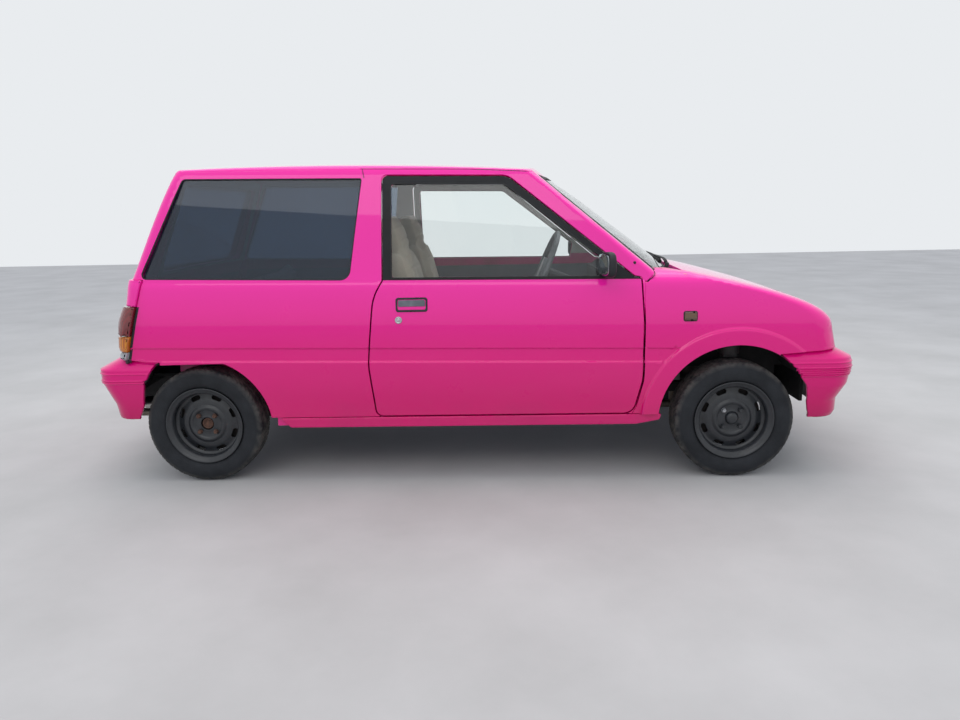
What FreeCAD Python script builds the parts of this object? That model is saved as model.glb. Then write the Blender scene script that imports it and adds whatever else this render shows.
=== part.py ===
import FreeCAD, Part
import math
import os
import re

# Three-door kei car: a hollow cabin of real panels on a floor pan, with opening
# doors, bonnet, tailgate and fuel lid, steering, axles and four turning wheels.
# Millimetres. X forward, Y to the left side, Z up, origin on the ground at mid length.

os.makedirs("parts", exist_ok=True)
doc = FreeCAD.newDocument("kei_car")
Vector = FreeCAD.Vector

# Driving dimensions: alias, value
SIZES = (
    ("overall_length", 3295), ("body_width", 1395), ("roof_height", 1368),
    ("axle_spacing", 2280), ("front_overhang", 525), ("axle_to_datum", 1122.5), ("shut_gap", 6.5),
    ("nose_setback", 72.5), ("tail_setback", 137.5), ("sill_width", 97.5), ("clip_width", 157.5), ("liner_gap", 30),
    ("tyre_radius", 252), ("tyre_width", 145), ("rim_radius", 160), ("axle_height", 252), ("arch_height", 253),
    ("front_track", 1215), ("rear_track", 1205), ("front_arch_radius", 328), ("rear_arch_radius", 304),
    ("rear_arch_top", 532), ("arch_flare", 68), ("ledge_height", 289), ("sill_bottom", 251),
    ("side_wall", 48), ("frame_wall", 30), ("roof_wall", 26), ("bonnet_wall", 18), ("nose_wall", 36),
    ("glass_inset", 4), ("glass_thick", 4), ("bumper_wall", 26), ("belt_height", 868),
    ("door_rear", 414), ("door_front", 727),
    ("floor_height", 300), ("floor_thick", 12),
    ("bulkhead_place", 842), ("bulkhead_thick", 14), ("boot_floor_height", 452),
    ("bonnet_rear", 905), ("bonnet_front_height", 713), ("wing_width", 123.5),
    ("lamp_inner", 368), ("lamp_margin", 47.5), ("lamp_low", 566), ("tailgate_margin", 177.5),
    ("tailgate_low", 566), ("tailgate_top", 1322), ("belt_fall", 0.785), ("seat_offset", 335), ("seat_width", 460),
    ("seat_height", 545), ("seat_rear", 205), ("seat_rake", 14), ("dash_height", 860), ("wheel_rim_radius", 184), ("wheel_grip", 13),
    ("steering_place", 332), ("steering_height", 877), ("steering_offset", 340),
    ("engine_length", 330), ("engine_width", 560), ("engine_height", 400), ("engine_place", 985),
    ("engine_bottom", 300), ("kingpin_offset", 545), ("fuel_lid_place", 1000), ("fuel_lid_height", 700),
    ("fuel_lid_size", 130), ("fuel_lid_thick", 4),
    ("plate_spacing", 210), ("front_plate_height", 420), ("rear_plate_height", 650),
)
sheet = doc.addObject("Spreadsheet::Sheet", "Sizes")
for row, (alias, value) in enumerate(SIZES, 1):
    sheet.set("A%d" % row, alias)
    sheet.set("B%d" % row, str(value))
    sheet.setAlias("B%d" % row, alias)
doc.recompute()


def size(alias):
    return float(sheet.get(alias))


def formula(text):
    """Point every alias in a formula at its cell of the sheet."""
    return re.sub(r"[a-z]+(?:_[a-z]+)+", lambda word: "Sizes." + word.group(0), str(text))


def bind(thing, **formulas):
    for name, text in formulas.items():
        thing.setExpression(name, formula(text))
    return thing


def place(thing, at, turn=None):
    """Turn about an axis through the local origin, then bind the place to the sheet."""
    if turn:
        axis, angle = turn
        thing.Placement = FreeCAD.Placement(Vector(0, 0, 0), FreeCAD.Rotation(Vector(*axis), angle))
    for letter, text in zip("xyz", at):
        thing.setExpression("Placement.Base." + letter, formula(text))
    return thing


def block(name, low, spans):
    box = doc.addObject("Part::Box", name)
    bind(box, Length=spans[0], Width=spans[1], Height=spans[2])
    return place(box, low)


def rod(name, radius, length, at, turn=None):
    cylinder = doc.addObject("Part::Cylinder", name)
    bind(cylinder, Radius=radius, Height=length)
    return place(cylinder, at, turn)


def join(name, pieces):
    fused = doc.addObject("Part::MultiFuse", name)
    fused.Shapes = pieces
    return fused


def carve(name, base, tools):
    cut = doc.addObject("Part::Cut", name)
    cut.Base = base
    cut.Tool = tools[0] if len(tools) == 1 else join(name + "_tools", tools)
    return cut


def mirror(name, source):
    other = doc.addObject("Part::Mirroring", name)
    other.Source = source
    other.Normal = (0, 1, 0)
    return other


def shaped(name, shape):
    """A piece whose form is worked out here from the sheet's values."""
    feature = doc.addObject("Part::Feature", name)
    feature.Shape = shape
    return feature


AXIS_Y = ((1, 0, 0), -90)
SIDES = (("right", -1), ("left", 1))
front_axle = size("overall_length") / 2 - size("front_overhang")
rear_axle = front_axle - size("axle_spacing")
FRONT_AXLE = "(overall_length / 2 - front_overhang)"
REAR_AXLE = "(overall_length / 2 - front_overhang - axle_spacing)"

# Stations: cabin places are measured from a datum behind the front axle, the nose's and
# the tail's from the body's own ends, and places across from half the body's width.
datum = front_axle - size("axle_to_datum")
nose = size("overall_length") / 2 - size("nose_setback")
tail = -size("overall_length") / 2 + size("tail_setback")
wide = size("body_width") / 2
crown = size("roof_height")
DATUM = "(overall_length / 2 - front_overhang - axle_to_datum)"
NOSE = "(overall_length / 2 - nose_setback)"
TAIL = "(-overall_length / 2 + tail_setback)"
WIDE = "body_width / 2"
LINER = "(rear_track / 2 - tyre_width / 2 - liner_gap)"
sill_inner = wide - size("sill_width")
clip_inner = wide - size("clip_width")
liner_inner = size("rear_track") / 2 - size("tyre_width") / 2 - size("liner_gap")
beyond = wide + 105
far = size("overall_length")
above = crown + 632


# Outlines and the stacked body forms
def segment(start, end):
    return Part.LineSegment(start, end).toShape()


def arc(start, middle, end):
    return Part.Arc(start, middle, end).toShape()


def plan_ring(z, half, front, rear, front_corner, rear_corner, front_bow, rear_bow):
    """A body's plan outline: bowed nose and tail, straight sides and round corners."""
    nose_half = half - front_corner
    tail_half = half - rear_corner
    nose_side = front - nose_half ** 2 / (2 * front_bow)
    tail_side = rear + tail_half ** 2 / (2 * rear_bow)
    bend = math.sqrt(0.5)
    edges = []
    corners = ((nose_side, nose_half, front_corner, 1), (tail_side, tail_half, rear_corner, -1))
    points = []
    for side, inner, corner, way in corners:
        tip = Vector(side, inner, z)
        middle = Vector(side - way * corner * (1 - bend), inner + corner * bend, z)
        foot = Vector(side - way * corner, half, z)
        points.append((tip, middle, foot))

    def flip(point):
        return Vector(point.x, -point.y, point.z)

    (nose_tip, nose_mid, nose_foot), (tail_tip, tail_mid, tail_foot) = points
    edges.append(arc(flip(nose_tip), Vector(front, 0, z), nose_tip))
    edges.append(arc(nose_tip, nose_mid, nose_foot))
    edges.append(segment(nose_foot, tail_foot))
    edges.append(arc(tail_foot, tail_mid, tail_tip))
    edges.append(arc(tail_tip, Vector(rear, 0, z), flip(tail_tip)))
    edges.append(arc(flip(tail_tip), flip(tail_mid), flip(tail_foot)))
    edges.append(segment(flip(tail_foot), flip(nose_foot)))
    edges.append(arc(flip(nose_foot), flip(nose_mid), flip(nose_tip)))
    return Part.Wire(edges)


def stack(rows):
    """A closed body through plan outlines, tilted so that the belt falls to the front."""
    rings = []
    for row in rows:
        ring = plan_ring(*row)
        ring.rotate(Vector(0, 0, row[0]), Vector(0, 1, 0), size("belt_fall"))
        rings.append(ring)
    return Part.makeLoft(rings, True, True)


def rounded(points, plane):
    """A closed outline with an arc at each corner; each point is two places and a radius."""
    edges = []
    spots = [Vector(first, second, 0) for first, second, radius in points]
    cuts = []
    for index, (first, second, radius) in enumerate(points):
        corner = spots[index]
        back = (spots[index - 1] - corner).normalize()
        on = (spots[(index + 1) % len(spots)] - corner).normalize()
        half_turn = (math.pi - back.getAngle(on)) / 2
        reach = radius * math.tan(half_turn)
        if radius == 0:
            cuts.append((corner, None, corner))
            continue
        inward = (back + on).normalize()
        centre = corner + inward * (radius / math.cos(half_turn))
        cuts.append((corner + back * reach, centre - inward * radius, corner + on * reach))
    for index, (start, middle, end) in enumerate(cuts):
        if middle:
            edges.append(arc(start, middle, end))
        following = cuts[(index + 1) % len(cuts)][0]
        edges.append(segment(end, following))
    wire = Part.Wire(edges)
    turns = {"side": (Vector(1, 0, 0), 90), "plan": (Vector(0, 0, 1), 0)}
    if plane == "rear":
        wire.rotate(Vector(0, 0, 0), Vector(1, 0, 0), 90)
        wire.rotate(Vector(0, 0, 0), Vector(0, 0, 1), 90)
    else:
        axis, angle = turns[plane]
        wire.rotate(Vector(0, 0, 0), axis, angle)
    return wire


def prism(points, plane, low, high):
    """The outline carried from low to high, across its own plane."""
    ways = {"side": Vector(0, 1, 0), "plan": Vector(0, 0, 1), "rear": Vector(1, 0, 0)}
    face = Part.Face(rounded(points, plane))
    face.translate(ways[plane] * low)
    return face.extrude(ways[plane] * (high - low))


def slab(low, high):
    spans = [top - bottom for bottom, top in zip(low, high)]
    return Part.makeBox(*spans, Vector(*low))


def grow(points, gap):
    """The same side outline moved outwards by a gap."""
    centre_a = sum(point[0] for point in points) / len(points)
    wire = Part.Wire([segment(Vector(a, b, 0), Vector(*points[(i + 1) % len(points)][:2], 0))
                      for i, (a, b, radius) in enumerate(points)])
    wider = wire.makeOffset2D(gap, 2)
    ring = [vertex.Point for vertex in wider.OrderedVertexes]
    first = points[0]
    start = min(range(len(ring)), key=lambda i: (ring[i] - Vector(first[0], first[1], 0)).Length)
    ring = ring[start:] + ring[:start]
    second = Vector(points[1][0], points[1][1], 0)
    if (ring[1] - second).Length > (ring[-1] - second).Length:
        ring = [ring[0]] + ring[:0:-1]
    return [(spot.x, spot.y, max(0, point[2] + (gap if point[2] else 0)))
            for spot, point in zip(ring, points)]


# Lower body rows: height, half width, nose, tail, nose corner, tail corner, nose bow, tail bow
LOWER_ROWS = (
    (size("ledge_height") - 50, wide - 20, nose, tail, 100, 62, 6000, 5000),
    (size("ledge_height") + 20, wide - 20, nose, tail, 100, 62, 6000, 5000),
    (524, wide - 3.5, nose, tail, 100, 62, 6000, 5000),
    (532, wide - 9.5, nose, tail, 100, 62, 6000, 5000),
    (578, wide - 10.5, nose - 1, tail, 100, 62, 6000, 5000),
    (586, wide - 6.5, nose - 2, tail, 100, 62, 6000, 5000),
    (640, wide - 7.5, nose - 14, tail + 4, 98, 62, 5800, 5000),
    (690, wide - 9.5, nose - 34, tail + 10, 94, 62, 5400, 5000),
    (722, wide - 13, nose - 70, tail + 21, 90, 62, 4800, 5000),
    (760, wide - 18.5, nose - 142, tail + 36, 84, 62, 3000, 5000),
    (800, wide - 24.5, nose - 252, tail + 51, 80, 62, 2700, 5000),
    (850, wide - 34, nose - 417, tail + 68, 76, 60, 2400, 5000),
    (885, wide - 62, nose - 556, tail + 82, 70, 60, 2100, 5000),
    (905, wide - 132, nose - 670, tail + 96, 60, 60, 2100, 5000),
)
# Glasshouse rows, in the same columns
UPPER_ROWS = (
    (840, wide - 36, datum + 938, tail + 63, 34, 55, 2100, 5000),
    (1285, wide - 137.5, datum + 371, tail + 248, 34, 55, 2100, 5000),
    (1315, wide - 150, datum + 333, tail + 263, 34, 55, 2100, 5000),
    (1334, wide - 166, datum + 309, tail + 280, 34, 55, 2100, 5000),
    (crown + 6, wide - 224, datum + 258, tail + 335, 34, 55, 2100, 5000),
)


def inset_rows(rows, wall, nose_wall, tail_wall, drop_from=None, drop=0):
    """The rows of an inner face: each outline drawn in by the walls' thicknesses."""
    inner = []
    for z, span, front, rear, corner_f, corner_r, bow_f, bow_r in rows:
        lower = drop if drop_from is not None and z >= drop_from else 0
        ahead = 0 if lower else nose_wall
        inner.append((z - lower, span - wall, front - ahead, rear + tail_wall,
                      max(8, corner_f - wall), max(8, corner_r - wall), bow_f, bow_r))
    return inner


def barrel(top):
    """The space under the crowned roof surface, a wide arc turned about a long low axis."""
    cross_bow, long_bow, summit = 5200, 16800, datum - 780
    low = top - cross_bow
    reach = 2400
    fall = reach ** 2 / (2 * long_bow)
    left, right = Vector(summit - reach, 0, top - fall), Vector(summit + reach, 0, top - fall)
    edges = [arc(left, Vector(summit, 0, top), right), segment(right, Vector(right.x, 0, 700)),
             segment(Vector(right.x, 0, 700), Vector(left.x, 0, 700)), segment(Vector(left.x, 0, 700), left)]
    face = Part.Face(Part.Wire(edges))
    face.rotate(Vector(0, 0, low), Vector(1, 0, 0), -12)
    return face.revolve(Vector(0, 0, low), Vector(1, 0, 0), 24)


lower_out = stack(LOWER_ROWS)
upper_out = stack(UPPER_ROWS).common(barrel(crown))
above_ledge = slab((-far, -beyond, size("ledge_height")), (far, beyond, above))
lower_out = lower_out.common(above_ledge)
outside = lower_out.fuse(upper_out)

wall = size("side_wall")
bonnet_wall = size("bonnet_wall")
inner_lower_rows = inset_rows(LOWER_ROWS, wall, size("nose_wall"), wall, 740, bonnet_wall)
inner_lower_rows[0] = (size("ledge_height") - 90,) + inner_lower_rows[0][1:]
lower_in = stack(inner_lower_rows)
frame_wall = size("frame_wall")
upper_in_rows = inset_rows(UPPER_ROWS, frame_wall, frame_wall * 1.3, frame_wall)
upper_in_rows[0] = (760, upper_in_rows[0][1] + 14, datum + 1000, tail + 88) + upper_in_rows[0][4:]
upper_in = stack(upper_in_rows).common(barrel(crown - size("roof_wall")))
shell = outside.cut(lower_in.fuse(upper_in))

# Side outlines: place along the car, height, corner radius
gap = size("shut_gap")
door_back = datum - size("door_rear")
door_nose = datum + size("door_front")
belt = size("belt_height")
DOOR = (
    (door_back + 18, size("ledge_height") + 4, 30), (door_back - 6, 520, 400), (door_back + 24, 800, 200),
    (door_back + 64, belt - 2, 6), (door_back + 68, 1294, 34), (datum + 172, 1283, 70),
    (datum + 690, belt - 2, 10), (door_nose - 10, belt - 6, 8), (door_nose, 690, 200), (door_nose, 440, 200),
    (door_nose - 36, size("ledge_height") + 4, 50),
)
DOOR_WINDOW = (
    (door_back + 98, belt + 8, 14), (door_back + 99, 1264, 26), (datum + 160, 1254, 46),
    (datum + 558, 950, 6), (datum + 548, belt + 1, 10),
)
QUARTER_WINDOW = (
    (tail + 134, 890, 20), (tail + 320, 1298, 22), (datum - 434, 1286, 8), (datum - 491, 872, 44),
)
right_span = (-beyond, 317.5 - wide)
door_space = prism(grow(DOOR, gap), "side", *right_span)
WING_LINE = ((door_nose - 38, 200, 0), (door_nose - 20, 320, 0), (door_nose + gap, 440, 0),
             (door_nose + gap, 856, 0), (datum + 756, 905, 0), (datum + 756, 915, 0),
             (datum + 1000, 915, 0), (datum + 1000, above, 0), (-far, above, 0), (-far, 200, 0))
BUMPER_LINE_FRONT = ((front_axle + 167.5, 541, 0), (nose - 67, 556, 0), (nose + 185, 560, 0), (nose + 185, 150, 0),
                     (front_axle + 167.5, 150, 0))
BUMPER_LINE_REAR = ((rear_axle - 152.5, 541, 0), (tail + 10, 556, 0), (tail - 250, 560, 0), (tail - 250, 150, 0),
                    (rear_axle - 152.5, 150, 0))
ROOF_LINE = ((tail + 10, size("tailgate_top") + gap, 0), (datum - 430, size("tailgate_top") + 2, 0), (datum + 20, 1314, 0),
             (datum + 330, 1296, 0), (datum + 600, 1296, 0), (datum + 600, above, 0), (tail + 10, above, 0))

# Openings of the panels, seen from the ends: across, height, corner radius
gate_half = wide - size("tailgate_margin")
TAILGATE = (
    (-gate_half, size("tailgate_low"), 20), (gate_half, size("tailgate_low"), 20), (gate_half, 872, 30),
    (gate_half + 22, 900, 30), (gate_half - 34, size("tailgate_top"), 24), (34 - gate_half, size("tailgate_top"), 24),
    (-gate_half - 22, 900, 30), (-gate_half, 872, 30),
)
TAILGATE_WINDOW = ((20 - gate_half, 905, 40), (gate_half - 20, 905, 40), (gate_half - 68, 1280, 40), (68 - gate_half, 1280, 40))
WINDSCREEN = ((85.5 - wide, 846, 20), (wide - 85.5, 846, 20), (wide - 191.5, 1292, 40), (191.5 - wide, 1292, 40))
tail_span = (tail - 290, tail + 410)
tailgate_space = prism(grow(TAILGATE, gap), "rear", *tail_span)
screen_space = prism(WINDSCREEN, "rear", datum + 260, datum + 1000)
bonnet_half = wide - size("wing_width")
bonnet_back = datum + size("bonnet_rear")
BONNET_PLAN = ((bonnet_back, -bonnet_half, 20), (nose + 125, -bonnet_half, 0), (nose + 125, bonnet_half, 0), (bonnet_back, bonnet_half, 20))
bonnet_low = size("bonnet_front_height")


def arch(axle, radius, low_y, high_y, top=None):
    """The round space over a wheel, with a flat top where the crease crosses it."""
    centre = Vector(axle, low_y, size("arch_height"))
    round_space = Part.makeCylinder(radius, high_y - low_y, centre, Vector(0, 1, 0))
    below = slab((axle - radius, low_y, 0), (axle + radius, high_y, size("arch_height")))
    space = round_space.fuse(below)
    if top:
        back = prism(((axle, 150, 0), (axle, top, 0), (axle - 187.5, top - 4, 14),
                      (axle - 242.5, 416, 8), (axle - 242.5, 150, 0)),
                     "side", low_y, high_y)
        space = space.fuse(back).common(slab((axle - 700, low_y, 0), (axle + 700, high_y, top)))
    return space


front_arch_radius = size("front_arch_radius")
rear_arch_radius = size("rear_arch_radius")
keep = {}

# Body sides: rear quarter, door posts, screen pillar and sill in one pressing
lower_skin = stack(inset_rows(LOWER_ROWS, size("fuel_lid_thick"), 4, 4))
glass_outer = stack(inset_rows(UPPER_ROWS, size("glass_inset"), 6, 6))
glass_inner = stack(inset_rows(UPPER_ROWS, size("glass_inset") + size("glass_thick"), 12, 12))
glass_band = glass_outer.cut(glass_inner)
lid = size("fuel_lid_size") / 2
lid_x = datum - size("fuel_lid_place")
lid_z = size("fuel_lid_height")
FUEL_LID = ((lid_x - lid, lid_z - lid, 16), (lid_x + lid, lid_z - lid, 16),
            (lid_x + lid, lid_z + lid, 16), (lid_x - lid, lid_z + lid, 16))
TAIL_LAMP = ((tail + 150, 888, 0), (tail + 67, 552, 0), (tail - 190, 552, 0), (tail - 190, 888, 0))


def cut_all(shape, tools):
    """Take the tools away one after another and keep the main solid."""
    for tool in tools:
        shape = shape.cut(tool)
    return max(shape.Solids, key=lambda solid: solid.Volume)


window = prism(QUARTER_WINDOW, "side", *right_span)
rear_space = arch(rear_axle, rear_arch_radius, *right_span, size("rear_arch_top"))
valance_space = slab((tail - 50, -gate_half, 440), (tail + wall + 60, gate_half, size("tailgate_low") - gap))
panel = cut_all(shell.cut(window).common(prism(WING_LINE, "side", *right_span)), (
    prism(ROOF_LINE, "side", *right_span), door_space, rear_space,
    prism(BUMPER_LINE_REAR, "side", *right_span), tailgate_space, screen_space, valance_space))
lamp_region = prism(TAIL_LAMP, "side", -beyond, -gate_half - 4)
lamp = panel.common(lamp_region)
panel = panel.cut(lamp_region)
sill_back = rear_axle + 325.5
sill = slab((sill_back, 29 - wide, size("sill_bottom")), (WING_LINE[0][0] - 4, -sill_inner, size("ledge_height")))
step = slab((sill_back, wall + 20 - wide, size("ledge_height")), (WING_LINE[0][0] - 4, -sill_inner, size("ledge_height") + 60))
sill = cut_all(sill.fuse(step), (rear_space, door_space))
liner = arch(rear_axle, rear_arch_radius + 8, 46 - wide, -liner_inner, size("rear_arch_top") + 8)
liner = cut_all(liner, (arch(rear_axle, rear_arch_radius, -beyond, -liner_inner - 8, size("rear_arch_top")),
                        slab((-far, -beyond, 0), (far, beyond, size("floor_height"))),
                        slab((-far, -beyond, 0), (rear_axle - 151.5, beyond, belt))))
body_side = panel.fuse([sill, liner])
quarter = glass_band.common(window)
door_glass = glass_band.common(prism(DOOR_WINDOW, "side", *right_span))
door = shell.common(prism(DOOR, "side", *right_span)).cut(prism(DOOR_WINDOW, "side", *right_span))


def other_side(shape):
    return shape.mirror(Vector(0, 0, 0), Vector(0, 1, 0))


keep["tail_lamps"] = Part.makeCompound([lamp, other_side(lamp)])
keep["quarter_glass"] = Part.makeCompound([quarter, other_side(quarter)])
keep["body_side_right"] = body_side
keep["body_side_left"] = other_side(body_side).cut(
    prism(grow(FUEL_LID, gap), "side", wide - wall + 8, wide + 20)).fuse(
    stack(inset_rows(LOWER_ROWS, size("fuel_lid_thick") + 0.3, 5, 5)).common(
        slab((lid_x + lid - 12, wide - wall, lid_z - 14), (lid_x + lid + gap + 4, wide + 10, lid_z + 14))))
keep["fuel_lid"] = lower_out.common(prism(FUEL_LID, "side", sill_inner, wide + 20)).cut(lower_skin)
keep["door_right"] = door
keep["door_left"] = other_side(door)
keep["door_glass_right"] = door_glass
keep["door_glass_left"] = other_side(door_glass)

# Roof panel, tailgate and their glass
full_span = (-beyond, beyond)
roof_region = prism(ROOF_LINE, "side", *full_span)
roof = shell.common(roof_region).cut(screen_space)
for low_y in (-240, 200):
    roof = roof.fuse(slab((tail + 276, low_y, size("tailgate_top") + 0.3), (tail + 288, low_y + 40, size("tailgate_top") + gap + 2)))
keep["roof_panel"] = roof
keep["tailgate"] = shell.common(prism(TAILGATE, "rear", *tail_span))
gate_window = prism(TAILGATE_WINDOW, "rear", *tail_span)
keep["tailgate"] = keep["tailgate"].cut(gate_window)
keep["tailgate_glass"] = glass_band.common(gate_window)
keep["windscreen"] = glass_band.common(screen_space).cut(lower_out)
rear_panel = lower_out.cut(lower_in).common(valance_space)

# Front clip: wings, bonnet, headlamps and grille
front_shell = shell.cut(prism(WING_LINE, "side", *full_span)).cut(upper_out)
bonnet_space = prism(BONNET_PLAN, "plan", bonnet_low, above)
wider_bonnet = prism(grow(BONNET_PLAN, gap), "plan", bonnet_low - gap, above)
keep["bonnet"] = front_shell.common(bonnet_space)
lamp_outer = wide - size("lamp_margin")
front_panel = slab((nose - 135, -lamp_outer, size("lamp_low")), (nose + 185, lamp_outer, bonnet_low - gap))
wings = front_shell.cut(wider_bonnet).cut(front_panel)
wings = wings.cut(prism(BUMPER_LINE_FRONT, "side", *full_span))
wings = wings.cut(arch(front_axle, front_arch_radius, *full_span))
wings = wings.cut(slab((datum, -clip_inner, 0), (far, clip_inner, above)))
arch_foot = Vector(front_axle, -wide, size("arch_height"))
flare_ring = Part.makeCylinder(front_arch_radius + size("arch_flare"), 2 * wide, arch_foot, Vector(0, 1, 0))
flare_ring = flare_ring.cut(Part.makeCylinder(front_arch_radius, 2 * wide, arch_foot, Vector(0, 1, 0)))
flare_ring = flare_ring.cut(slab((-far, -wide + 20, -far), (far, wide - 20, above)))
flare_ring = flare_ring.cut(slab((-far, -wide, -far), (far, wide, size("ledge_height"))))
flare_ring = flare_ring.cut(prism(BUMPER_LINE_FRONT, "side", *full_span)).cut(prism(WING_LINE, "side", *full_span))
wings = wings.fuse(flare_ring)
for low_z in (470, 620):
    for side in (-1, 1):
        low_y, high_y = sorted((side * (wide - 24), side * (wide - 44)))
        wings = wings.fuse(slab((door_nose + 0.3, low_y, low_z), (door_nose + gap + 2, high_y, low_z + 60)))
keep["front_wings"] = wings
front_block = front_shell.common(front_panel)
inner_lamp = size("lamp_inner")
keep["headlamps"] = front_block.cut(slab((datum, -inner_lamp, 0), (far, inner_lamp, above)))
keep["grille"] = front_block.common(slab((datum, -inner_lamp + 0.3, 0), (far, inner_lamp - 0.3, above)))

# Bumper rows: height, half width, reach of the face
FRONT_BUMPER = (
    (262, wide - 28, -58), (284, wide - 21, -50), (338, wide - 13, -52), (405, wide - 3, -14),
    (487, wide, 0), (517, wide - 3, -6), (556, wide - 34, -80),
)
REAR_BUMPER = (
    (288, wide - 24, -58), (296, wide - 20, -55), (350, wide - 12, -49), (453, wide, -3),
    (509, wide - 2, 0), (552, wide - 34, -84),
)


def bumper(rows, way, thick, lift):
    """A bumper's stacked form; way is 1 at the nose and -1 at the tail."""
    rings = []
    end = size("overall_length") / 2
    for z, span, reach in rows:
        face = end + reach - thick
        if way == 1:
            rings.append((z + lift, span - thick, face, 0, max(30, 100 - thick), 20, 6000, 9000))
        else:
            rings.append((z + lift, span - thick, 0, -face, 20, max(30, 84 - thick), 9000, 4000))
    wires = [plan_ring(*ring) for ring in rings]
    return Part.makeLoft(wires, True, True)


thick = size("bumper_wall")
front_bumper = bumper(FRONT_BUMPER, 1, 0, 0)
front_hollow = bumper(((230, wide - 28, -58),) + FRONT_BUMPER[1:-1] + ((534, wide - 20, -40),), 1, thick, 0)
front_bumper = front_bumper.cut(front_hollow).common(prism(BUMPER_LINE_FRONT, "side", *full_span))
front_bumper = front_bumper.cut(arch(front_axle, front_arch_radius + 2, *full_span))
front_bumper = front_bumper.cut(slab((-far, -clip_inner, 0), (nose - 135, clip_inner, above)))
liner_room = Part.makeCylinder(front_arch_radius + 25.3, 2 * wide - 113, arch_foot + Vector(0, 56.5, 0), Vector(0, 1, 0))
front_bumper = front_bumper.cut(liner_room)
plate_half = size("plate_spacing") / 2
for across in (-plate_half, plate_half):
    bolt = Part.makeCylinder(3, 120, Vector(nose - 25, across, size("front_plate_height")), Vector(1, 0, 0))
    front_bumper = front_bumper.cut(bolt)
    bolt = Part.makeCylinder(3, 200, Vector(tail - 90, across, size("rear_plate_height")), Vector(1, 0, 0))
    keep["tailgate"] = keep["tailgate"].cut(bolt)
keep["front_bumper"] = front_bumper
rear_bumper = bumper(REAR_BUMPER, -1, 0, 0)
rear_hollow = bumper(((250, wide - 28, -58),) + REAR_BUMPER[1:-1] + ((530, wide - 20, -40),), -1, thick, 0)
rear_bumper = rear_bumper.cut(rear_hollow).common(prism(BUMPER_LINE_REAR, "side", *full_span))
rear_bumper = rear_bumper.cut(arch(rear_axle, rear_arch_radius, *full_span, size("rear_arch_top")))
rear_bumper = rear_bumper.cut(slab((tail + 60, -clip_inner, 0), (far, clip_inner, above)))
rear_bumper = rear_bumper.cut(lower_out.common(slab((tail - 190, -sill_inner, 500), (tail + 110, sill_inner, 600))))
keep["rear_bumper"] = rear_bumper


# Wheels: a tyre and a pressed steel rim, made once and set at four corners
def along_y(name, radius, length, start="0"):
    """A cylinder along Y from a start place."""
    return rod(name, radius, length, ("0", start, "0"), AXIS_Y)


tyre_blank = carve("tyre_blank", along_y("tyre_outer", "tyre_radius", "tyre_width", "-tyre_width / 2"), [
    along_y("tyre_bore", "rim_radius - 8", "tyre_width + 2", "-tyre_width / 2 - 1"),
    along_y("tyre_seat_inner", "rim_radius + 8.3", "20", "-tyre_width / 2 - 1.2"),
    along_y("tyre_seat_outer", "rim_radius + 8.3", "20", "tyre_width / 2 - 18.8")])
doc.recompute()
tyre = doc.addObject("Part::Fillet", "tyre_form")
tyre.Base = tyre_blank
outer_edges = [index for index, edge in enumerate(tyre_blank.Shape.Edges, 1)
               if edge.Curve.TypeId == "Part::GeomCircle" and edge.Curve.Radius > size("tyre_radius") - 1]
tyre.Edges = [(index, 26, 26) for index in outer_edges]

barrel_ring = carve("rim_barrel", along_y("rim_well", "rim_radius - 8.3", "tyre_width - 25", "-(tyre_width - 25) / 2"),
                    [along_y("rim_hollow", "rim_radius - 16", "tyre_width", "-tyre_width / 2")])
flanges = []
for label, start in (("outer", "tyre_width / 2 - 12.5"), ("inner", "-tyre_width / 2 + 6.5")):
    lip = along_y("rim_lip_" + label, "rim_radius + 8", "6", start)
    flanges.append(carve("rim_flange_" + label, lip, [along_y("rim_lip_bore_" + label, "rim_radius - 16", "8", start + " - 1")]))
disc = along_y("rim_disc", "rim_radius - 12", "7", "8")
dome = along_y("rim_dome", "62", "20", "8")
holes = [along_y("rim_hub_bore", "28", "60", "-10")]
for index in range(4):
    angle = math.radians(90 * index + 45)
    hole = along_y("rim_bolt_hole_%d" % index, "6", "60", "-10")
    bind(hole, **{"Placement.Base.x": "%.6f * 50" % math.cos(angle), "Placement.Base.z": "%.6f * 50" % math.sin(angle)})
    holes.append(hole)
for index in range(8):
    vent = doc.addObject("Part::Cylinder", "rim_vent_%d" % index)
    bind(vent, Radius="11", Height="20")
    turn = 45 * index + 22.5
    vent.Placement = FreeCAD.Placement(Vector(0, 0, 0), FreeCAD.Rotation(Vector(1, 0, 0), -90))
    angle = math.radians(turn)
    bind(vent, **{"Placement.Base.x": "(rim_radius - 34) * %.6f" % math.cos(angle), "Placement.Base.y": "0",
                  "Placement.Base.z": "(rim_radius - 34) * %.6f" % math.sin(angle)})
    holes.append(vent)
rim = carve("rim_form", join("rim_body", [barrel_ring, disc, dome] + flanges), holes)
rim_other = mirror("rim_form_right", rim)
parts = {}
for end, axle_place, track in (("front", FRONT_AXLE, "front_track"), ("rear", REAR_AXLE, "rear_track")):
    for name, side in SIDES:
        for kind, source in (("tyre", tyre), ("rim", rim if side == 1 else rim_other)):
            node = doc.addObject("Part::Compound", "%s_%s_%s" % (kind, end, name))
            node.Links = [source]
            place(node, (axle_place, "%d * %s / 2" % (side, track), "axle_height"))
            parts[node.Name] = node

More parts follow.
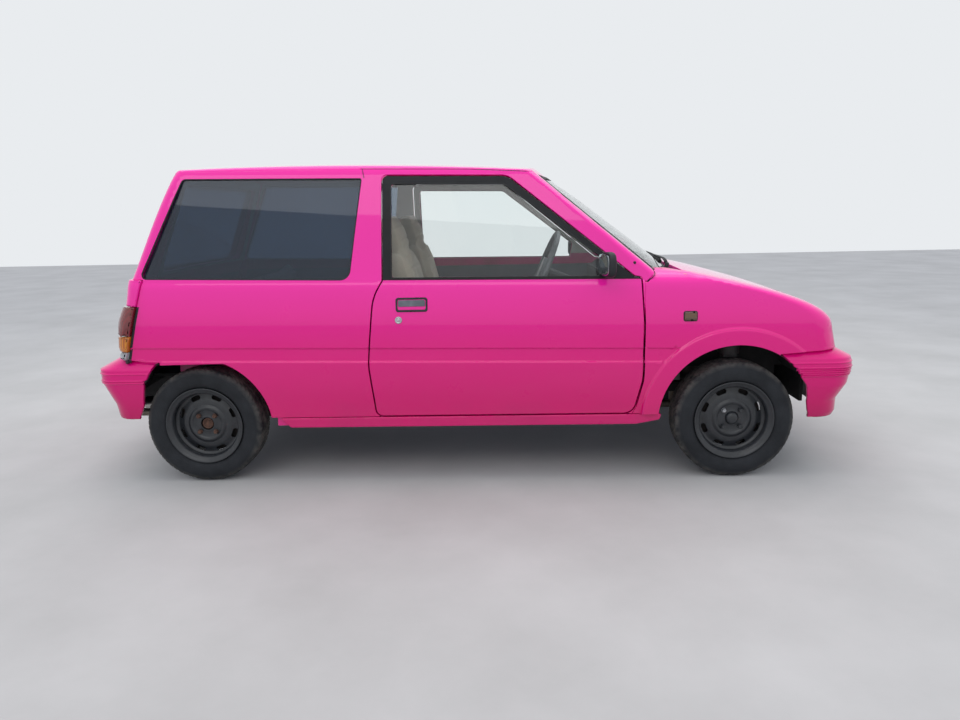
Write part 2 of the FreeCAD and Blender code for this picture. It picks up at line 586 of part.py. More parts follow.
# Floor: front plate between the sills, kick-up, boot floor, tail valance and two rails
rear_valance = shaped("rear_valance", rear_panel)
wheel_room = [rod("wheel_room_" + name, "front_arch_radius + 25.3", "400", 
                  (FRONT_AXLE, "front_track / 2 - 220.8" if side == 1 else "-front_track / 2 - 179.2", "arch_height"), AXIS_Y)
              for name, side in SIDES]
floor_front = block("floor_front", (DATUM + " - 700", "sill_width - " + WIDE, "floor_height - floor_thick"),
                    ("bulkhead_place + bulkhead_thick + 700", "body_width - 2 * sill_width", "floor_thick"))
floor_bits = [
    carve("floor_plate", floor_front, wheel_room),
    block("floor_kick_up", (DATUM + " - 712", "-" + LINER, "floor_height - floor_thick"),
          ("12", "2 * " + LINER, "boot_floor_height - floor_height + floor_thick")),
    block("boot_floor", (TAIL + " + 40", "-" + LINER, "boot_floor_height - floor_thick"),
          (DATUM + " - 740 - " + TAIL, "2 * " + LINER, "floor_thick")),
    rear_valance,
]
for name, side in SIDES:
    rail_low = "280" if side == 1 else "-340"
    floor_bits.append(block("floor_rail_" + name, (DATUM + " - 700", rail_low, "floor_height - 38"),
                            ("bulkhead_place + bulkhead_thick + 700", "60", "27")))
parts["floor_pan"] = join("floor_pan", floor_bits)

# Bulkhead and cowl with the two bonnet hinge brackets
bulkhead_bits = [
    block("bulkhead_wall", (DATUM + " + bulkhead_place", "sill_width - " + WIDE, "floor_height"),
          ("bulkhead_thick", "body_width - 2 * sill_width", "500")),
    block("bulkhead_head", (DATUM + " + bulkhead_place", "clip_width - " + WIDE, "floor_height + 500"),
          ("bulkhead_thick", "body_width - 2 * clip_width", "66")),
    block("cowl_tray", (DATUM + " + bulkhead_place - 52", "clip_width - " + WIDE, "866"), ("103", "body_width - 2 * clip_width", "14")),
]
for name, side in SIDES:
    low = WIDE + " - wing_width - 78" if side == 1 else "wing_width + 48 - " + WIDE
    bulkhead_bits.append(block("bonnet_bracket_" + name, (DATUM + " + bonnet_rear - 25", low, "850"), ("52", "30", "23.8")))
bonnet_room = shaped("bonnet_room", keep["bonnet"].translated(Vector(0, 0, -0.3)))
parts["bulkhead"] = carve("bulkhead", join("bulkhead_bits", bulkhead_bits), wheel_room + [bonnet_room])

# Front structure: rails, radiator panel, cross member and the inner wheel arches
front_bits = [
    block("radiator_panel", (NOSE + " - 135", "clip_width - 5 - " + WIDE, "300"), ("14", "body_width - 2 * clip_width + 10", "228")),
    block("radiator", (NOSE + " - 171", "-240", "330"), ("36", "480", "330")),
    block("cross_member", (FRONT_AXLE + " - 120", "-345", "286"), ("300", "690", "14")),
]
bumper_room = shaped("bumper_room", keep["front_bumper"].translated(Vector(-0.3, 0, 0)))
for name, side in SIDES:
    def across(low, high):
        return low if side == 1 else "-(%s)" % high, "%s - (%s)" % (high, low)

    low, span = across("290", "345")
    front_bits.append(block("front_rail_" + name, (DATUM + " + bulkhead_place + bulkhead_thick", low, "300"),
                            (NOSE + " - 135 - " + DATUM + " - bulkhead_place - bulkhead_thick", span, "40")))
    bracket = block("bracket_" + name, (NOSE + " - 121", low, "390"), ("160", span, "40"))
    front_bits.append(carve("bumper_bracket_" + name, bracket, [bumper_room]))
    front_bits.append(block("arm_bracket_" + name, (FRONT_AXLE + " - 45", low, "150"), ("90", span, "140")))
    low, span = across("front_track / 2 - 220.5", WIDE + " - 60.5")
    outer_arch = rod("arch_outer_" + name, "front_arch_radius + 25", span, (FRONT_AXLE, low, "arch_height"), AXIS_Y)
    low, span = across("front_track / 2 - 212.5", WIDE + " + 2.5")
    inner_arch = rod("arch_inner_" + name, "front_arch_radius + 17", span, (FRONT_AXLE, low, "arch_height"), AXIS_Y)
    low, span = across("300", WIDE + " + 2.5")
    under = block("arch_under_" + name, (FRONT_AXLE + " - 400", low, "-100"), ("800", span, "530"))
    strut_room = rod("strut_room_" + name, "45.3", "400", (FRONT_AXLE, "%s * kingpin_offset" % side, "400"))
    front_bits.append(carve("inner_arch_" + name, outer_arch, [inner_arch, under, strut_room]))
    low, span = across("345", "front_track / 2 - 217.5")
    front_bits.append(block("arch_stay_" + name, (FRONT_AXLE + " + 200", low, "300"), ("60", span, "200")))
parts["front_structure"] = join("front_structure", front_bits)

# Engine: one block with its gearbox at its real place
parts["engine_block"] = block("engine_block", (DATUM + " + engine_place", "-engine_width / 2", "engine_bottom"),
                              ("engine_length", "engine_width", "engine_height"))

# Front suspension: a lower arm and a strut each side; knuckles turn between them
suspension_bits = []
for name, side in SIDES:
    low = "345" if side == 1 else "-kingpin_offset + 15"
    suspension_bits.append(block("lower_arm_" + name, (FRONT_AXLE + " - 22", low, "160"), ("44", "kingpin_offset - 360", "22")))
    suspension_bits.append(rod("strut_" + name, "45", "135", (FRONT_AXLE, "%s * kingpin_offset" % side, "520.3")))
    low = "kingpin_offset - 45" if side == 1 else "17 - kingpin_offset"
    bits = [
        block("upright_" + name, (FRONT_AXLE + " - 28", low, "182.3"), ("56", "28", "337.7")),
        block("upright_head_" + name, (FRONT_AXLE + " - 28", "kingpin_offset - 45" if side == 1 else "-kingpin_offset - 27", "507"),
              ("56", "72", "13")),
        rod("hub_" + name, "27.6", "front_track / 2 - kingpin_offset + 45",
            (FRONT_AXLE, "kingpin_offset - 45" if side == 1 else "-front_track / 2", "axle_height"), AXIS_Y),
        rod("hub_flange_" + name, "58", "7.7", (FRONT_AXLE, "front_track / 2" if side == 1 else "-front_track / 2 - 7.7", "axle_height"), AXIS_Y),
    ]
    parts["knuckle_" + name] = join("knuckle_" + name, bits)
parts["front_suspension"] = join("front_suspension", suspension_bits)

# Rear axle: a tube beam on trailing arms, springs and hub flanges
axle_bits = [rod("rear_beam", "28", "rear_track - 165", (REAR_AXLE, "82.5 - rear_track / 2", "axle_height"), AXIS_Y)]
for name, side in SIDES:
    low = "420" if side == 1 else "-460"
    axle_bits.append(block("trailing_arm_" + name, (REAR_AXLE, low, "235"), (DATUM + " - 720 - " + REAR_AXLE, "40", "40")))
    axle_bits.append(block("arm_foot_" + name, (DATUM + " - 740", low, "235"), ("60", "40", "floor_height - floor_thick - 235")))
    axle_bits.append(rod("rear_spring_" + name, "40", "boot_floor_height - floor_thick - axle_height - 20", (REAR_AXLE, "%d * 380" % side, "axle_height + 20")))
    axle_bits.append(rod("rear_hub_" + name, "27.6", "87.5",
                         (REAR_AXLE, "rear_track / 2 - 87.5" if side == 1 else "-rear_track / 2", "axle_height"), AXIS_Y))
    axle_bits.append(rod("rear_flange_" + name, "58", "7.7", (REAR_AXLE, "rear_track / 2" if side == 1 else "-rear_track / 2 - 7.7", "axle_height"), AXIS_Y))
parts["rear_axle"] = join("rear_axle", axle_bits)

# Exhaust and fuel tank under the floor
exhaust_bits = [
    rod("exhaust_pipe", "19", DATUM + " + engine_place - 155 - " + TAIL, (TAIL + " + 150", "-180", "196"), ((0, 1, 0), 90)),
    rod("exhaust_riser", "19", "engine_bottom - 196.3", (DATUM + " + engine_place - 7", "-180", "196.3")),
    rod("exhaust_box", "66", "330", (TAIL + " + 140", "-480", "252"), AXIS_Y),
    rod("exhaust_tip", "18", "130", (TAIL + " + 110", "-460", "262"), ((0, 1, 0), -90)),
]
parts["exhaust"] = join("exhaust", exhaust_bits)
parts["fuel_tank"] = block("fuel_tank", (DATUM + " - 640", "-130", "180"), ("480", "400", "floor_height - floor_thick - 180"))

# Cabin: seats, dashboard, steering column and wheel
def upholstered(points, low_y, high_y, edge_round):
    """A closed cushion: a side outline carried across, its long edges rounded."""
    form = prism(points, "side", low_y, high_y)
    ends = [edge for edge in form.Edges if edge.BoundBox.YLength < 0.01]
    return form.makeFillet(edge_round, ends)


def leaning(foot_x, foot_z, depth, height, corner):
    """The side outline of a back or head rest that leans rearwards by the seat's rake."""
    lean = math.radians(size("seat_rake"))
    points = []
    for ahead, up in ((0, 0), (depth, 0), (depth, height), (0, height)):
        points.append((foot_x + ahead * math.cos(lean) - up * math.sin(lean),
                       foot_z + ahead * math.sin(lean) + up * math.cos(lean), corner))
    return points


seat_top, seat_floor = size("seat_height"), size("floor_height")
seat_back = datum - size("seat_rear")
seat_forms = []
for name, side in SIDES:
    low = side * size("seat_offset") - size("seat_width") / 2
    high = low + size("seat_width")
    cushion = ((seat_back, seat_floor, 20), (seat_back + 425, seat_floor, 20), (seat_back + 448, seat_top - 115, 50),
               (seat_back + 430, seat_top + 2, 55), (seat_back + 60, seat_top - 30, 60), (seat_back, seat_top - 20, 30))
    back = leaning(seat_back - 60, seat_top - 60, 110, 500, 45)
    rest = leaning(seat_back - 166, seat_top + 420, 90, 190, 38)
    seat = upholstered(cushion, low, high, 24).fuse([
        upholstered(back, low, high, 24), upholstered(rest, low + 100, high - 100, 22)])
    seat_forms.append(seat)
parts["front_seats"] = shaped("front_seats", Part.makeCompound(seat_forms))
bench = size("boot_floor_height")
bench_half = liner_inner - 10
bench_cushion = ((datum - 1005, bench, 6), (datum - 712, bench, 20), (datum - 704, bench + 48, 26),
                 (datum - 716, bench + 94, 34), (datum - 1005, bench + 78, 6))
bench_back = ((datum - 1090, bench, 6), (datum - 1000, bench, 6), (datum - 1022, bench + 430, 34), (datum - 1092, bench + 430, 30))
parts["rear_seat"] = shaped("rear_seat", upholstered(bench_cushion, -bench_half, bench_half, 18).fuse(
    prism(bench_back, "side", -bench_half, bench_half)))

# Dashboard: a padded top over a shelf, the instrument hood and a centre console
dash_front = datum + size("bulkhead_place")
dash_top = size("dash_height")
DASH = ((datum + 662, dash_top - 240, 30), (dash_front - 12, dash_top - 240, 0), (dash_front - 12, dash_top - 26, 0),
        (dash_front - 0.3, dash_top - 26, 0), (dash_front - 0.3, dash_top, 4), (datum + 690, dash_top, 30),
        (datum + 643, dash_top - 34, 26), (datum + 641, dash_top - 120, 30))
DASH_END = ((datum + 662, dash_top - 240, 30), (dash_front - 12, dash_top - 240, 0), (dash_front - 12, dash_top - 26, 0),
            (datum + 646, dash_top - 26, 4), (datum + 641, dash_top - 120, 30))
HOOD = ((datum + 606, dash_top - 58, 10), (datum + 770, dash_top - 58, 4), (datum + 770, dash_top + 2, 4),
        (datum + 736, dash_top + 24, 18), (datum + 604, dash_top + 33, 14))
CONSOLE = ((datum + 622, dash_top - 430, 20), (dash_front, dash_top - 430, 6), (dash_front, dash_top - 200, 6),
           (datum + 640, dash_top - 200, 6))
hood_half = 150
steering_y = -size("steering_offset")
parts["dashboard"] = shaped("dashboard", prism(DASH, "side", -clip_inner, clip_inner).fuse([
    prism(DASH_END, "side", -sill_inner, sill_inner),
    prism(HOOD, "side", steering_y - hood_half, steering_y + hood_half),
    prism(CONSOLE, "side", -120, 120)]))
tilt = 22.5
column_turn = ((0, 1, 0), 90 + tilt)
parts["steering_column"] = rod("steering_column", "20", "308", (DATUM + " + steering_place + 15.06", "-steering_offset", "steering_height - 6.24"), column_turn)
wheel_bits = [
    doc.addObject("Part::Torus", "steering_rim"),
    rod("steering_boss", "55", "30", ("0", "0", "-16")),
    block("steering_spoke_wide", ("-10", "-170", "-14"), ("20", "340", "12")),
    block("steering_spoke_low", ("-170", "-14", "-14"), ("170", "28", "12")),
]
bind(wheel_bits[0], Radius1="wheel_rim_radius - wheel_grip", Radius2="wheel_grip")
steering_form = join("steering_form", wheel_bits)
steering_wheel = doc.addObject("Part::Compound", "steering_wheel")
steering_wheel.Links = [steering_form]
steering_wheel.Placement = FreeCAD.Placement(Vector(0, 0, 0), FreeCAD.Rotation(Vector(0, 1, 0), -(90 - tilt)))
place(steering_wheel, (DATUM + " + steering_place", "-steering_offset", "steering_height"))
parts["steering_wheel"] = steering_wheel

# Door mirrors: a foot on the sash corner and a rounded case
outer_form = shaped("outer_form", outside)
mirror_blocks = {}
for name, side in SIDES:
    foot = block("mirror_foot_" + name, (DATUM + " + 566", WIDE + " - 77.5" if side == 1 else "27.5 - " + WIDE, "884"),
                 ("36", "50", "48"))
    case = block("mirror_case_" + name, (DATUM + " + 560", WIDE + " - 33.5" if side == 1 else "-102.5 - " + WIDE, "880"),
                 ("62", "136", "110"))
    mirror_blocks[name] = (foot, case)
doc.recompute()
for name, (foot, case) in mirror_blocks.items():
    form = doc.addObject("Part::Fillet", "mirror_form_" + name)
    form.Base = case
    form.Edges = [(index, 18, 18) for index in range(1, 13)]
    parts["mirror_" + name] = carve("mirror_" + name, join("mirror_bits_" + name, [foot, form]), [outer_form])

for key, shape in keep.items():
    parts[key] = shaped(key, shape)
doc.recompute()
for key, thing in parts.items():
    thing.Label = key
faults = [thing.Label for thing in doc.Objects if {"Invalid", "Error"} & set(thing.State)]
faults += [key for key, thing in parts.items() if thing.Shape.isNull() or not thing.Shape.isValid()]
if faults:
    raise SystemExit("failed: " + ", ".join(faults))
for key, thing in parts.items():
    thing.Shape.exportStep("parts/%s.step" % key)
    print(key, len(thing.Shape.Solids), round(thing.Shape.Volume / 1e6, 2))
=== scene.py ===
import math
import bmesh
import bpy
import numpy as np
from mathutils import Matrix
from mathutils.geometry import delaunay_2d_cdt


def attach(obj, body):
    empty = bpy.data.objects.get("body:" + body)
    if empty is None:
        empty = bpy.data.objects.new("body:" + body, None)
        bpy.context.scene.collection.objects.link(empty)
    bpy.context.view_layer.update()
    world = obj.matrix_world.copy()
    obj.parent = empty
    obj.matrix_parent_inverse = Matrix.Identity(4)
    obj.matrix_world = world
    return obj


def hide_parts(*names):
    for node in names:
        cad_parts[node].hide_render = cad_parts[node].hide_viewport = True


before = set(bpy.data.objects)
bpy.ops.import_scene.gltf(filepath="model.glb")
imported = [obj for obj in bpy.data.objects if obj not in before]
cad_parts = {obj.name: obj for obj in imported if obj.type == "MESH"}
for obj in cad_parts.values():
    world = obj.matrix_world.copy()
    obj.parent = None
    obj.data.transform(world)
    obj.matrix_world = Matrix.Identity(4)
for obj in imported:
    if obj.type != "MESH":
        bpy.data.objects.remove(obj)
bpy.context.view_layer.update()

# Camera, floor and light
# The photograph's own camera: 1.15 m above the ground and 3.6 m from the middle of the car,
# looking 11.8 degrees down, with its focal length in pixels of a frame 960 wide.
FOCAL_PIXELS, FRAME_WIDTH = 721, 960
PITCH, YAW, ROLL = math.radians(11.77), math.radians(-1.77), math.radians(1.17)


def direction(*parts):
    """A vector of unit length."""
    return np.array(parts) / np.linalg.norm(parts)


def link(name, data):
    """A new object of the scene."""
    made = bpy.data.objects.new(name, data)
    bpy.context.scene.collection.objects.link(made)
    return made


def stand(thing, across, ahead, place):
    """Aim a camera or lamp: its right-hand direction, its view direction and its place."""
    view = np.eye(4)
    view[:3, :3] = np.stack([across, np.cross(across, ahead), -ahead], 1)
    view[:3, 3] = place
    thing.matrix_world = Matrix(view.tolist())


ahead = direction(math.sin(YAW) * math.cos(PITCH), math.cos(YAW) * math.cos(PITCH), -math.sin(PITCH))
level = direction(math.cos(YAW), -math.sin(YAW), 0)
across = math.cos(ROLL) * level + math.sin(ROLL) * np.cross(ahead, level)
lens = bpy.data.cameras.new("camera")
lens.sensor_width = 36
lens.lens = lens.sensor_width * FOCAL_PIXELS / FRAME_WIDTH
camera = link("camera", lens)
stand(camera, across, ahead, (0.1395, -3.645, 1.149))
bpy.context.scene.camera = camera
bpy.context.scene.view_settings.view_transform = "Standard"


def paint_value(code):
    """An sRGB hex colour as linear values: a power of 2.4 above the short straight foot."""
    channels = [int(code[i:i + 2], 16) / 255 for i in (0, 2, 4)]
    return [c / 12.92 if c < 0.04045 else ((c + 0.055) / 1.055) ** 2.4 for c in channels] + [1]


def add(tree, kind, values=(), joins=(), **own):
    """Add one node: values for its inputs, joins from other sockets, own settings by name."""
    made = tree.nodes.new("ShaderNode" + kind)
    for name, value in own.items():
        setattr(made, name, value)
    for name, value in dict(values).items():
        made.inputs[name].default_value = value
    for name, socket in dict(joins).items():
        tree.links.new(socket, made.inputs[name])
    return made


def new_finish(name, values=(), tree_made=None):
    """A material with one Principled shader; tree_made adds the pattern nodes first."""
    material = bpy.data.materials.new(name)
    material.use_nodes = True
    tree = material.node_tree
    tree.nodes.clear()
    shader = add(tree, "BsdfPrincipled", values, tree_made(tree) if tree_made else {})
    add(tree, "OutputMaterial", joins={"Surface": shader.outputs[0]})
    return material


def speckle(tree, scale, detail=4, roughness=0.6):
    """Fractal noise on Object coordinates, scale in patches a metre."""
    place = add(tree, "TexCoord").outputs["Object"]
    return add(tree, "TexNoise", {"Scale": scale, "Detail": detail, "Roughness": roughness},
               {"Vector": place}).outputs["Fac"]


def ramp(tree, factor, *stops):
    """A colour ramp: each stop is a place from 0 to 1 and a hex colour."""
    made = add(tree, "ValToRGB", joins={"Fac": factor})
    band = made.color_ramp
    while len(band.elements) < len(stops):
        band.elements.new(0.5)
    for element, (place, code) in zip(band.elements, stops):
        element.position = place
        element.color = paint_value(code)
    return made.outputs["Color"]


def raised(tree, height, depth):
    """Bump from a height pattern, depth in metres."""
    return add(tree, "Bump", {"Strength": 1, "Distance": depth}, {"Height": height}).outputs["Normal"]


def ranged(tree, value, start=(0, 1), to=(0, 1)):
    """A value carried from one range to another."""
    return add(tree, "MapRange", {"From Min": start[0], "From Max": start[1], "To Min": to[0], "To Max": to[1]},
               {"Value": value}).outputs[0]


def clouded(name, values, cloud, stops, rough=None, bump=None):
    """A finish in clouds of shades; cloud, rough and bump start with a noise's scale and detail."""
    def pattern(tree):
        made = {"Base Color": ramp(tree, speckle(tree, *cloud), *stops)}
        if rough:
            made["Roughness"] = ranged(tree, speckle(tree, *rough[0]), *rough[1:])
        if bump:
            made["Normal"] = raised(tree, speckle(tree, *bump[0]), bump[1])
        return made
    return new_finish(name, values, pattern)


def shape(name, points, face_sets, finish, normals=None, smooth=True):
    """One object from points in millimetres and arrays of face corners."""
    mesh = bpy.data.meshes.new(name)
    points = np.asarray(points, float).reshape(-1, 3)
    face_sets = [np.asarray(faces) for faces in face_sets if len(faces)]
    corners = np.concatenate([faces.ravel() for faces in face_sets])
    sizes = np.concatenate([np.full(len(faces), faces.shape[1]) for faces in face_sets])
    mesh.vertices.add(len(points))
    mesh.vertices.foreach_set("co", (points / 1000).ravel())
    mesh.loops.add(len(corners))
    mesh.loops.foreach_set("vertex_index", corners.astype(np.int32))
    mesh.polygons.add(len(sizes))
    mesh.polygons.foreach_set("loop_start", (np.cumsum(sizes) - sizes).astype(np.int32))
    mesh.polygons.foreach_set("use_smooth", np.full(len(sizes), smooth))
    mesh.update(calc_edges=True)
    if normals is not None:
        mesh.normals_split_custom_set_from_vertices(np.asarray(normals).reshape(-1, 3).tolist())
    mesh.materials.append(finish)
    return link(name, mesh)


floor_finish = clouded("swept_concrete", {"Roughness": 0.85}, (1.3, 6), ((0.3, "A9A7A2"), (0.7, "B7B5B0")))
floor_half = 14000
floor_points = np.array([(-1, -1, 0), (1, -1, 0), (1, 1, 0), (-1, 1, 0)]) * floor_half
floor = shape("floor", floor_points, [[[0, 1, 2, 3]]], floor_finish)

world = bpy.data.worlds.new("studio")
world.use_nodes = True
bpy.context.scene.world = world
sky = world.node_tree
sky.nodes.clear()
sky_place = add(sky, "TexCoord").outputs["Generated"]
sky_rise = add(sky, "SeparateXYZ", joins={"Vector": sky_place}).outputs["Z"]
sky_band = ramp(sky, sky_rise, (0.02, "84888C"), (0.16, "D6E2FF"), (0.5, "EEF3FF"))
sky_glow = add(sky, "Background", {"Strength": 1.2}, {"Color": sky_band})
sky_seen = add(sky, "Background", {"Color": paint_value("E9ECEF"), "Strength": 1})
light_path = add(sky, "LightPath").outputs
sky_shown = light_path["Is Camera Ray"]
for ray_kind in ("Is Glossy Ray", "Is Transmission Ray"):
    sky_shown = add(sky, "Math", joins={0: sky_shown, 1: light_path[ray_kind]}, operation="MAXIMUM").outputs[0]
sky_mix = add(sky, "MixShader", joins={0: sky_shown, 1: sky_glow.outputs[0], 2: sky_seen.outputs[0]})
add(sky, "OutputWorld", joins={"Surface": sky_mix.outputs[0]})

for lamp_name, lamp_place, lamp_aim, lamp_size, lamp_power in (
        ("overhead", (0, 0.5, 4.6), (0, 0, 0.6), (7, 4), 120),
        ("near_side", (-1.2, -6.5, 5.2), (0, 0, 0.5), (6, 2.4), 60)):
    lamp_data = bpy.data.lights.new(lamp_name, "AREA")
    lamp_data.shape = "RECTANGLE"
    lamp_data.size, lamp_data.size_y = lamp_size
    lamp_data.energy = lamp_power
    beam = direction(*(np.array(lamp_aim) - lamp_place))
    stand(link(lamp_name, lamp_data), direction(*np.cross(beam, (0, 0, 1))), beam, lamp_place)

# Painted body sides
# Pressed steel under a hot pink solid colour with a clear top coat, slightly dulled low
# down by road dust, its colour painted lighter towards the top and deeper low down as
# painted sky and ground reflections. Each panel is a net of points on the body's own
# stacked outlines, with its edge rolled in round the shut gap.
WIDE, NOSE, TAIL, BELT = 697.5, 1575.0, -1510.0, 857
FALL = math.radians(0.785)
BAND_LOW, BAND_HIGH = 524, 586
TAIL_BOW = 5000
SIDES = (("right", False, -1), ("left", True, 1))


def stacked(nose, *rows):
    """Rows of height, width lost, nose, tail, nose corner, tail corner and nose bow, less what is usual."""
    usual = (0, 0, 100, 38, 6000)
    full = np.array([row + usual[len(row) - 2:] for row in rows], float)
    full[:, 1] = WIDE - full[:, 1]
    full[:, 2:4] += (nose, TAIL)
    return full


FOOT_ROWS = stacked(NOSE, (180, 24), (309, 20), (420, 9.5), (BAND_LOW, 3.5))
BAND_ROWS = stacked(NOSE, (BAND_LOW, 3.5), (529, 10), (581, 11.5, -1), (BAND_HIGH, 6.5, -2))
BODY_ROWS = stacked(
    NOSE, (BAND_HIGH, 6.5, -2), (640, 7.5, -14, 4, 98, 38, 5800), (690, 9.5, -27, 10, 94), (722, 13, -54, 21, 90),
    (760, 18.5, -116, 36, 84, 38, 5600), (800, 24.5, -222, 43, 80, 38, 5000), (850, 34, -400, 50, 76, 38, 3400),
    (885, 62, -548, 60, 70, 38, 2400), (905, 132, -670, 70, 60, 38, 2100))
CABIN_ROWS = stacked(
    0, (840, 36, 938, 42, 34, 38, 2100), (1285, 137.5, 371, 238, 34, 38, 2100), (1315, 150, 333, 257, 34, 40, 2100),
    (1334, 166, 309, 278, 34, 46, 2100), (1374, 224, 258, 335, 34, 55, 2100))


def follow(rows, height):
    """Row values at any height, on cubics whose slopes are the harmonic mean of their neighbours'."""
    stations, values = rows[:, 0], rows[:, 1:]
    slope = np.diff(values, axis=0) / np.diff(stations)[:, None]
    low, high = slope[:-1], slope[1:]
    total = np.where(low + high == 0, 1, low + high)
    inner = np.where(low * high > 0, 2 * low * high / total, 0)
    tangent = np.vstack([slope[:1], inner, slope[-1:]])
    index = np.clip(np.searchsorted(stations, height) - 1, 0, len(stations) - 2)
    span = (stations[index + 1] - stations[index])[..., None]
    t = np.clip((height - stations[index])[..., None] / span, 0, 1)
    return ((2 * t ** 3 - 3 * t ** 2 + 1) * values[index] + (t ** 3 - 2 * t ** 2 + t) * span * tangent[index]
            + (3 * t ** 2 - 2 * t ** 3) * values[index + 1] + (t ** 3 - t ** 2) * span * tangent[index + 1])


def body_rows(height):
    """The lower body: a gentle curve below the creases, straight between them, curves above."""
    height = np.asarray(height, float)
    band = np.stack([np.interp(height, BAND_ROWS[:, 0], BAND_ROWS[:, k]) for k in range(1, 7)], -1)
    low = (height <= BAND_LOW)[..., None]
    high = (height >= BAND_HIGH)[..., None]
    return np.where(low, follow(FOOT_ROWS, height), np.where(high, follow(BODY_ROWS, height), band))


def side_rows(height):
    """The lower body up to the belt and the cabin above it."""
    height = np.asarray(height, float)
    return np.where((height > BELT)[..., None], follow(CABIN_ROWS, height), body_rows(height))


def ends(values):
    """Where a row's straight side starts and stops: half, foot, heel, corners, nose, tail, bow."""
    half, nose, tail, nose_corner, tail_corner, bow = np.moveaxis(values, -1, 0)
    foot = nose - (half - nose_corner) ** 2 / (2 * bow) - nose_corner
    heel = tail + (half - tail_corner) ** 2 / (2 * TAIL_BOW) + tail_corner
    return half, foot, heel, nose_corner, tail_corner, nose, tail, bow


def wrapped(along, values):
    """A row followed from its side round the corner on to its bowed end: plan places x and y."""
    half, foot, heel, corner, back_corner, nose, tail, bow = ends(values)
    turn = np.clip((along - foot) / corner, 0, math.pi / 2)
    back_turn = np.clip((heel - along) / back_corner, 0, math.pi / 2)
    past = np.maximum(along - foot - corner * math.pi / 2, 0)
    back_past = np.maximum(heel - back_corner * math.pi / 2 - along, 0)
    y = half - corner * (1 - np.cos(turn)) - past - back_corner * (1 - np.cos(back_turn)) - back_past
    x = np.clip(along, heel, foot) + corner * np.sin(turn) - back_corner * np.sin(back_turn)
    x = np.where(past > 0, nose - y ** 2 / (2 * bow), x)
    return np.where(back_past > 0, tail + y ** 2 / (2 * TAIL_BOW), x), y


def tilted(x, y, height):
    """Tip each row so that the belt falls to the front; the right side is at minus y."""
    return np.stack([x * math.cos(FALL), -y, height - x * math.sin(FALL)], -1)


def on_rows(rows):
    """A surface through the rows as a function of the two flat coordinates of a panel."""
    return lambda flat: tilted(*wrapped(flat[:, 0], rows(flat[:, 1])), flat[:, 1])


def seen_side(points, rows):
    """Side-view places x and z as the flat coordinates of a panel."""
    x, z = np.asarray(points, float).T
    height = z + x * math.tan(FALL)
    half, foot, heel, corner, back_corner, *rest = ends(rows(height))
    front = np.arcsin(np.clip((x - foot) / corner, 0, 1)) * corner + np.maximum(x - foot - corner, 0)
    back = np.arcsin(np.clip((heel - x) / back_corner, 0, 1)) * back_corner + np.maximum(heel - back_corner - x, 0)
    return np.stack([np.clip(x, heel, foot) + front - back, height], -1)


def along_at(distance, height, rows, way=1):
    """Flat place at a height where the body is a given distance from the middle; way is 1 at the nose."""
    height = np.asarray(height, float)
    half, foot, heel, corner, back_corner, *rest = ends(rows(height))
    start, corner = (foot, corner) if way == 1 else (heel, back_corner)
    turn = np.arccos(np.clip((distance - half + corner) / corner, 0, 1))
    return np.stack([start + way * corner * turn + way * np.maximum(half - corner - distance, 0), height], -1)


def seen_end(points, rows, way):
    """End-view places, distance from the middle and z, as flat coordinates; way is 1 at the nose."""
    y, z = np.asarray(points, float).T
    height = z
    for repeat in range(4):
        along = along_at(y, height, rows, way)[:, 0]
        height = z + wrapped(along, rows(height))[0] * math.sin(FALL)
    return np.stack([along, height], -1)


def run_through(*parts, pace=9):
    """A closed line through parts already given in flat coordinates, with points every few millimetres."""
    line = np.concatenate([np.asarray(part, float).reshape(-1, 2) for part in parts])
    onward = np.roll(line, -1, 0)
    counts = np.maximum(1, (np.linalg.norm(onward - line, axis=1) / pace).astype(int))
    place = np.repeat(np.arange(len(line)), counts)
    share = (np.arange(len(place)) - np.repeat(np.cumsum(counts) - counts, counts)) / counts[place]
    return line[place] + (onward - line)[place] * share[:, None]


def outline(*corners, pace=9):
    """A closed line with rounded corners; each corner is two places and a radius."""
    spots = np.array([corner[:2] for corner in corners], float)
    runs = []
    for i, corner in enumerate(corners):
        back = direction(*(spots[i - 1] - spots[i]))
        on = direction(*(spots[(i + 1) % len(spots)] - spots[i]))
        radius = corner[2] if len(corner) > 2 else 0
        if radius == 0:
            runs.append(spots[i:i + 1])
            continue
        half_turn = (math.pi - math.acos(np.clip(back @ on, -1, 1))) / 2
        centre = spots[i] + direction(*(back + on)) * radius / math.cos(half_turn)
        first = spots[i] + back * radius * math.tan(half_turn) - centre
        last = spots[i] + on * radius * math.tan(half_turn) - centre
        swing = math.atan2(first[0] * last[1] - first[1] * last[0], first @ last)
        angles = np.linspace(0, swing, max(3, int(abs(swing) * radius / pace * 2) + 2))
        runs.append(centre + np.stack([first[0] * np.cos(angles) - first[1] * np.sin(angles),
                                       first[0] * np.sin(angles) + first[1] * np.cos(angles)], -1))
    return run_through(*runs, pace=pace)


def box_line(low, high, radius, pace=9):
    """An upright rectangle between two opposite corners, all four rounded alike."""
    return outline((*low, radius), (high[0], low[1], radius), (*high, radius), (low[0], high[1], radius), pace=pace)


def wider(line, gap):
    """A closed line moved outwards by a gap, along the mean of its neighbours' normals."""
    run = np.roll(line, -1, 0) - np.roll(line, 1, 0)
    turning = np.sum(line[:, 0] * np.roll(line[:, 1], -1) - line[:, 1] * np.roll(line[:, 0], -1))
    out = np.stack([run[:, 1], -run[:, 0]], -1) / np.linalg.norm(run, axis=1)[:, None]
    return line + out * gap * (1 if turning > 0 else -1)


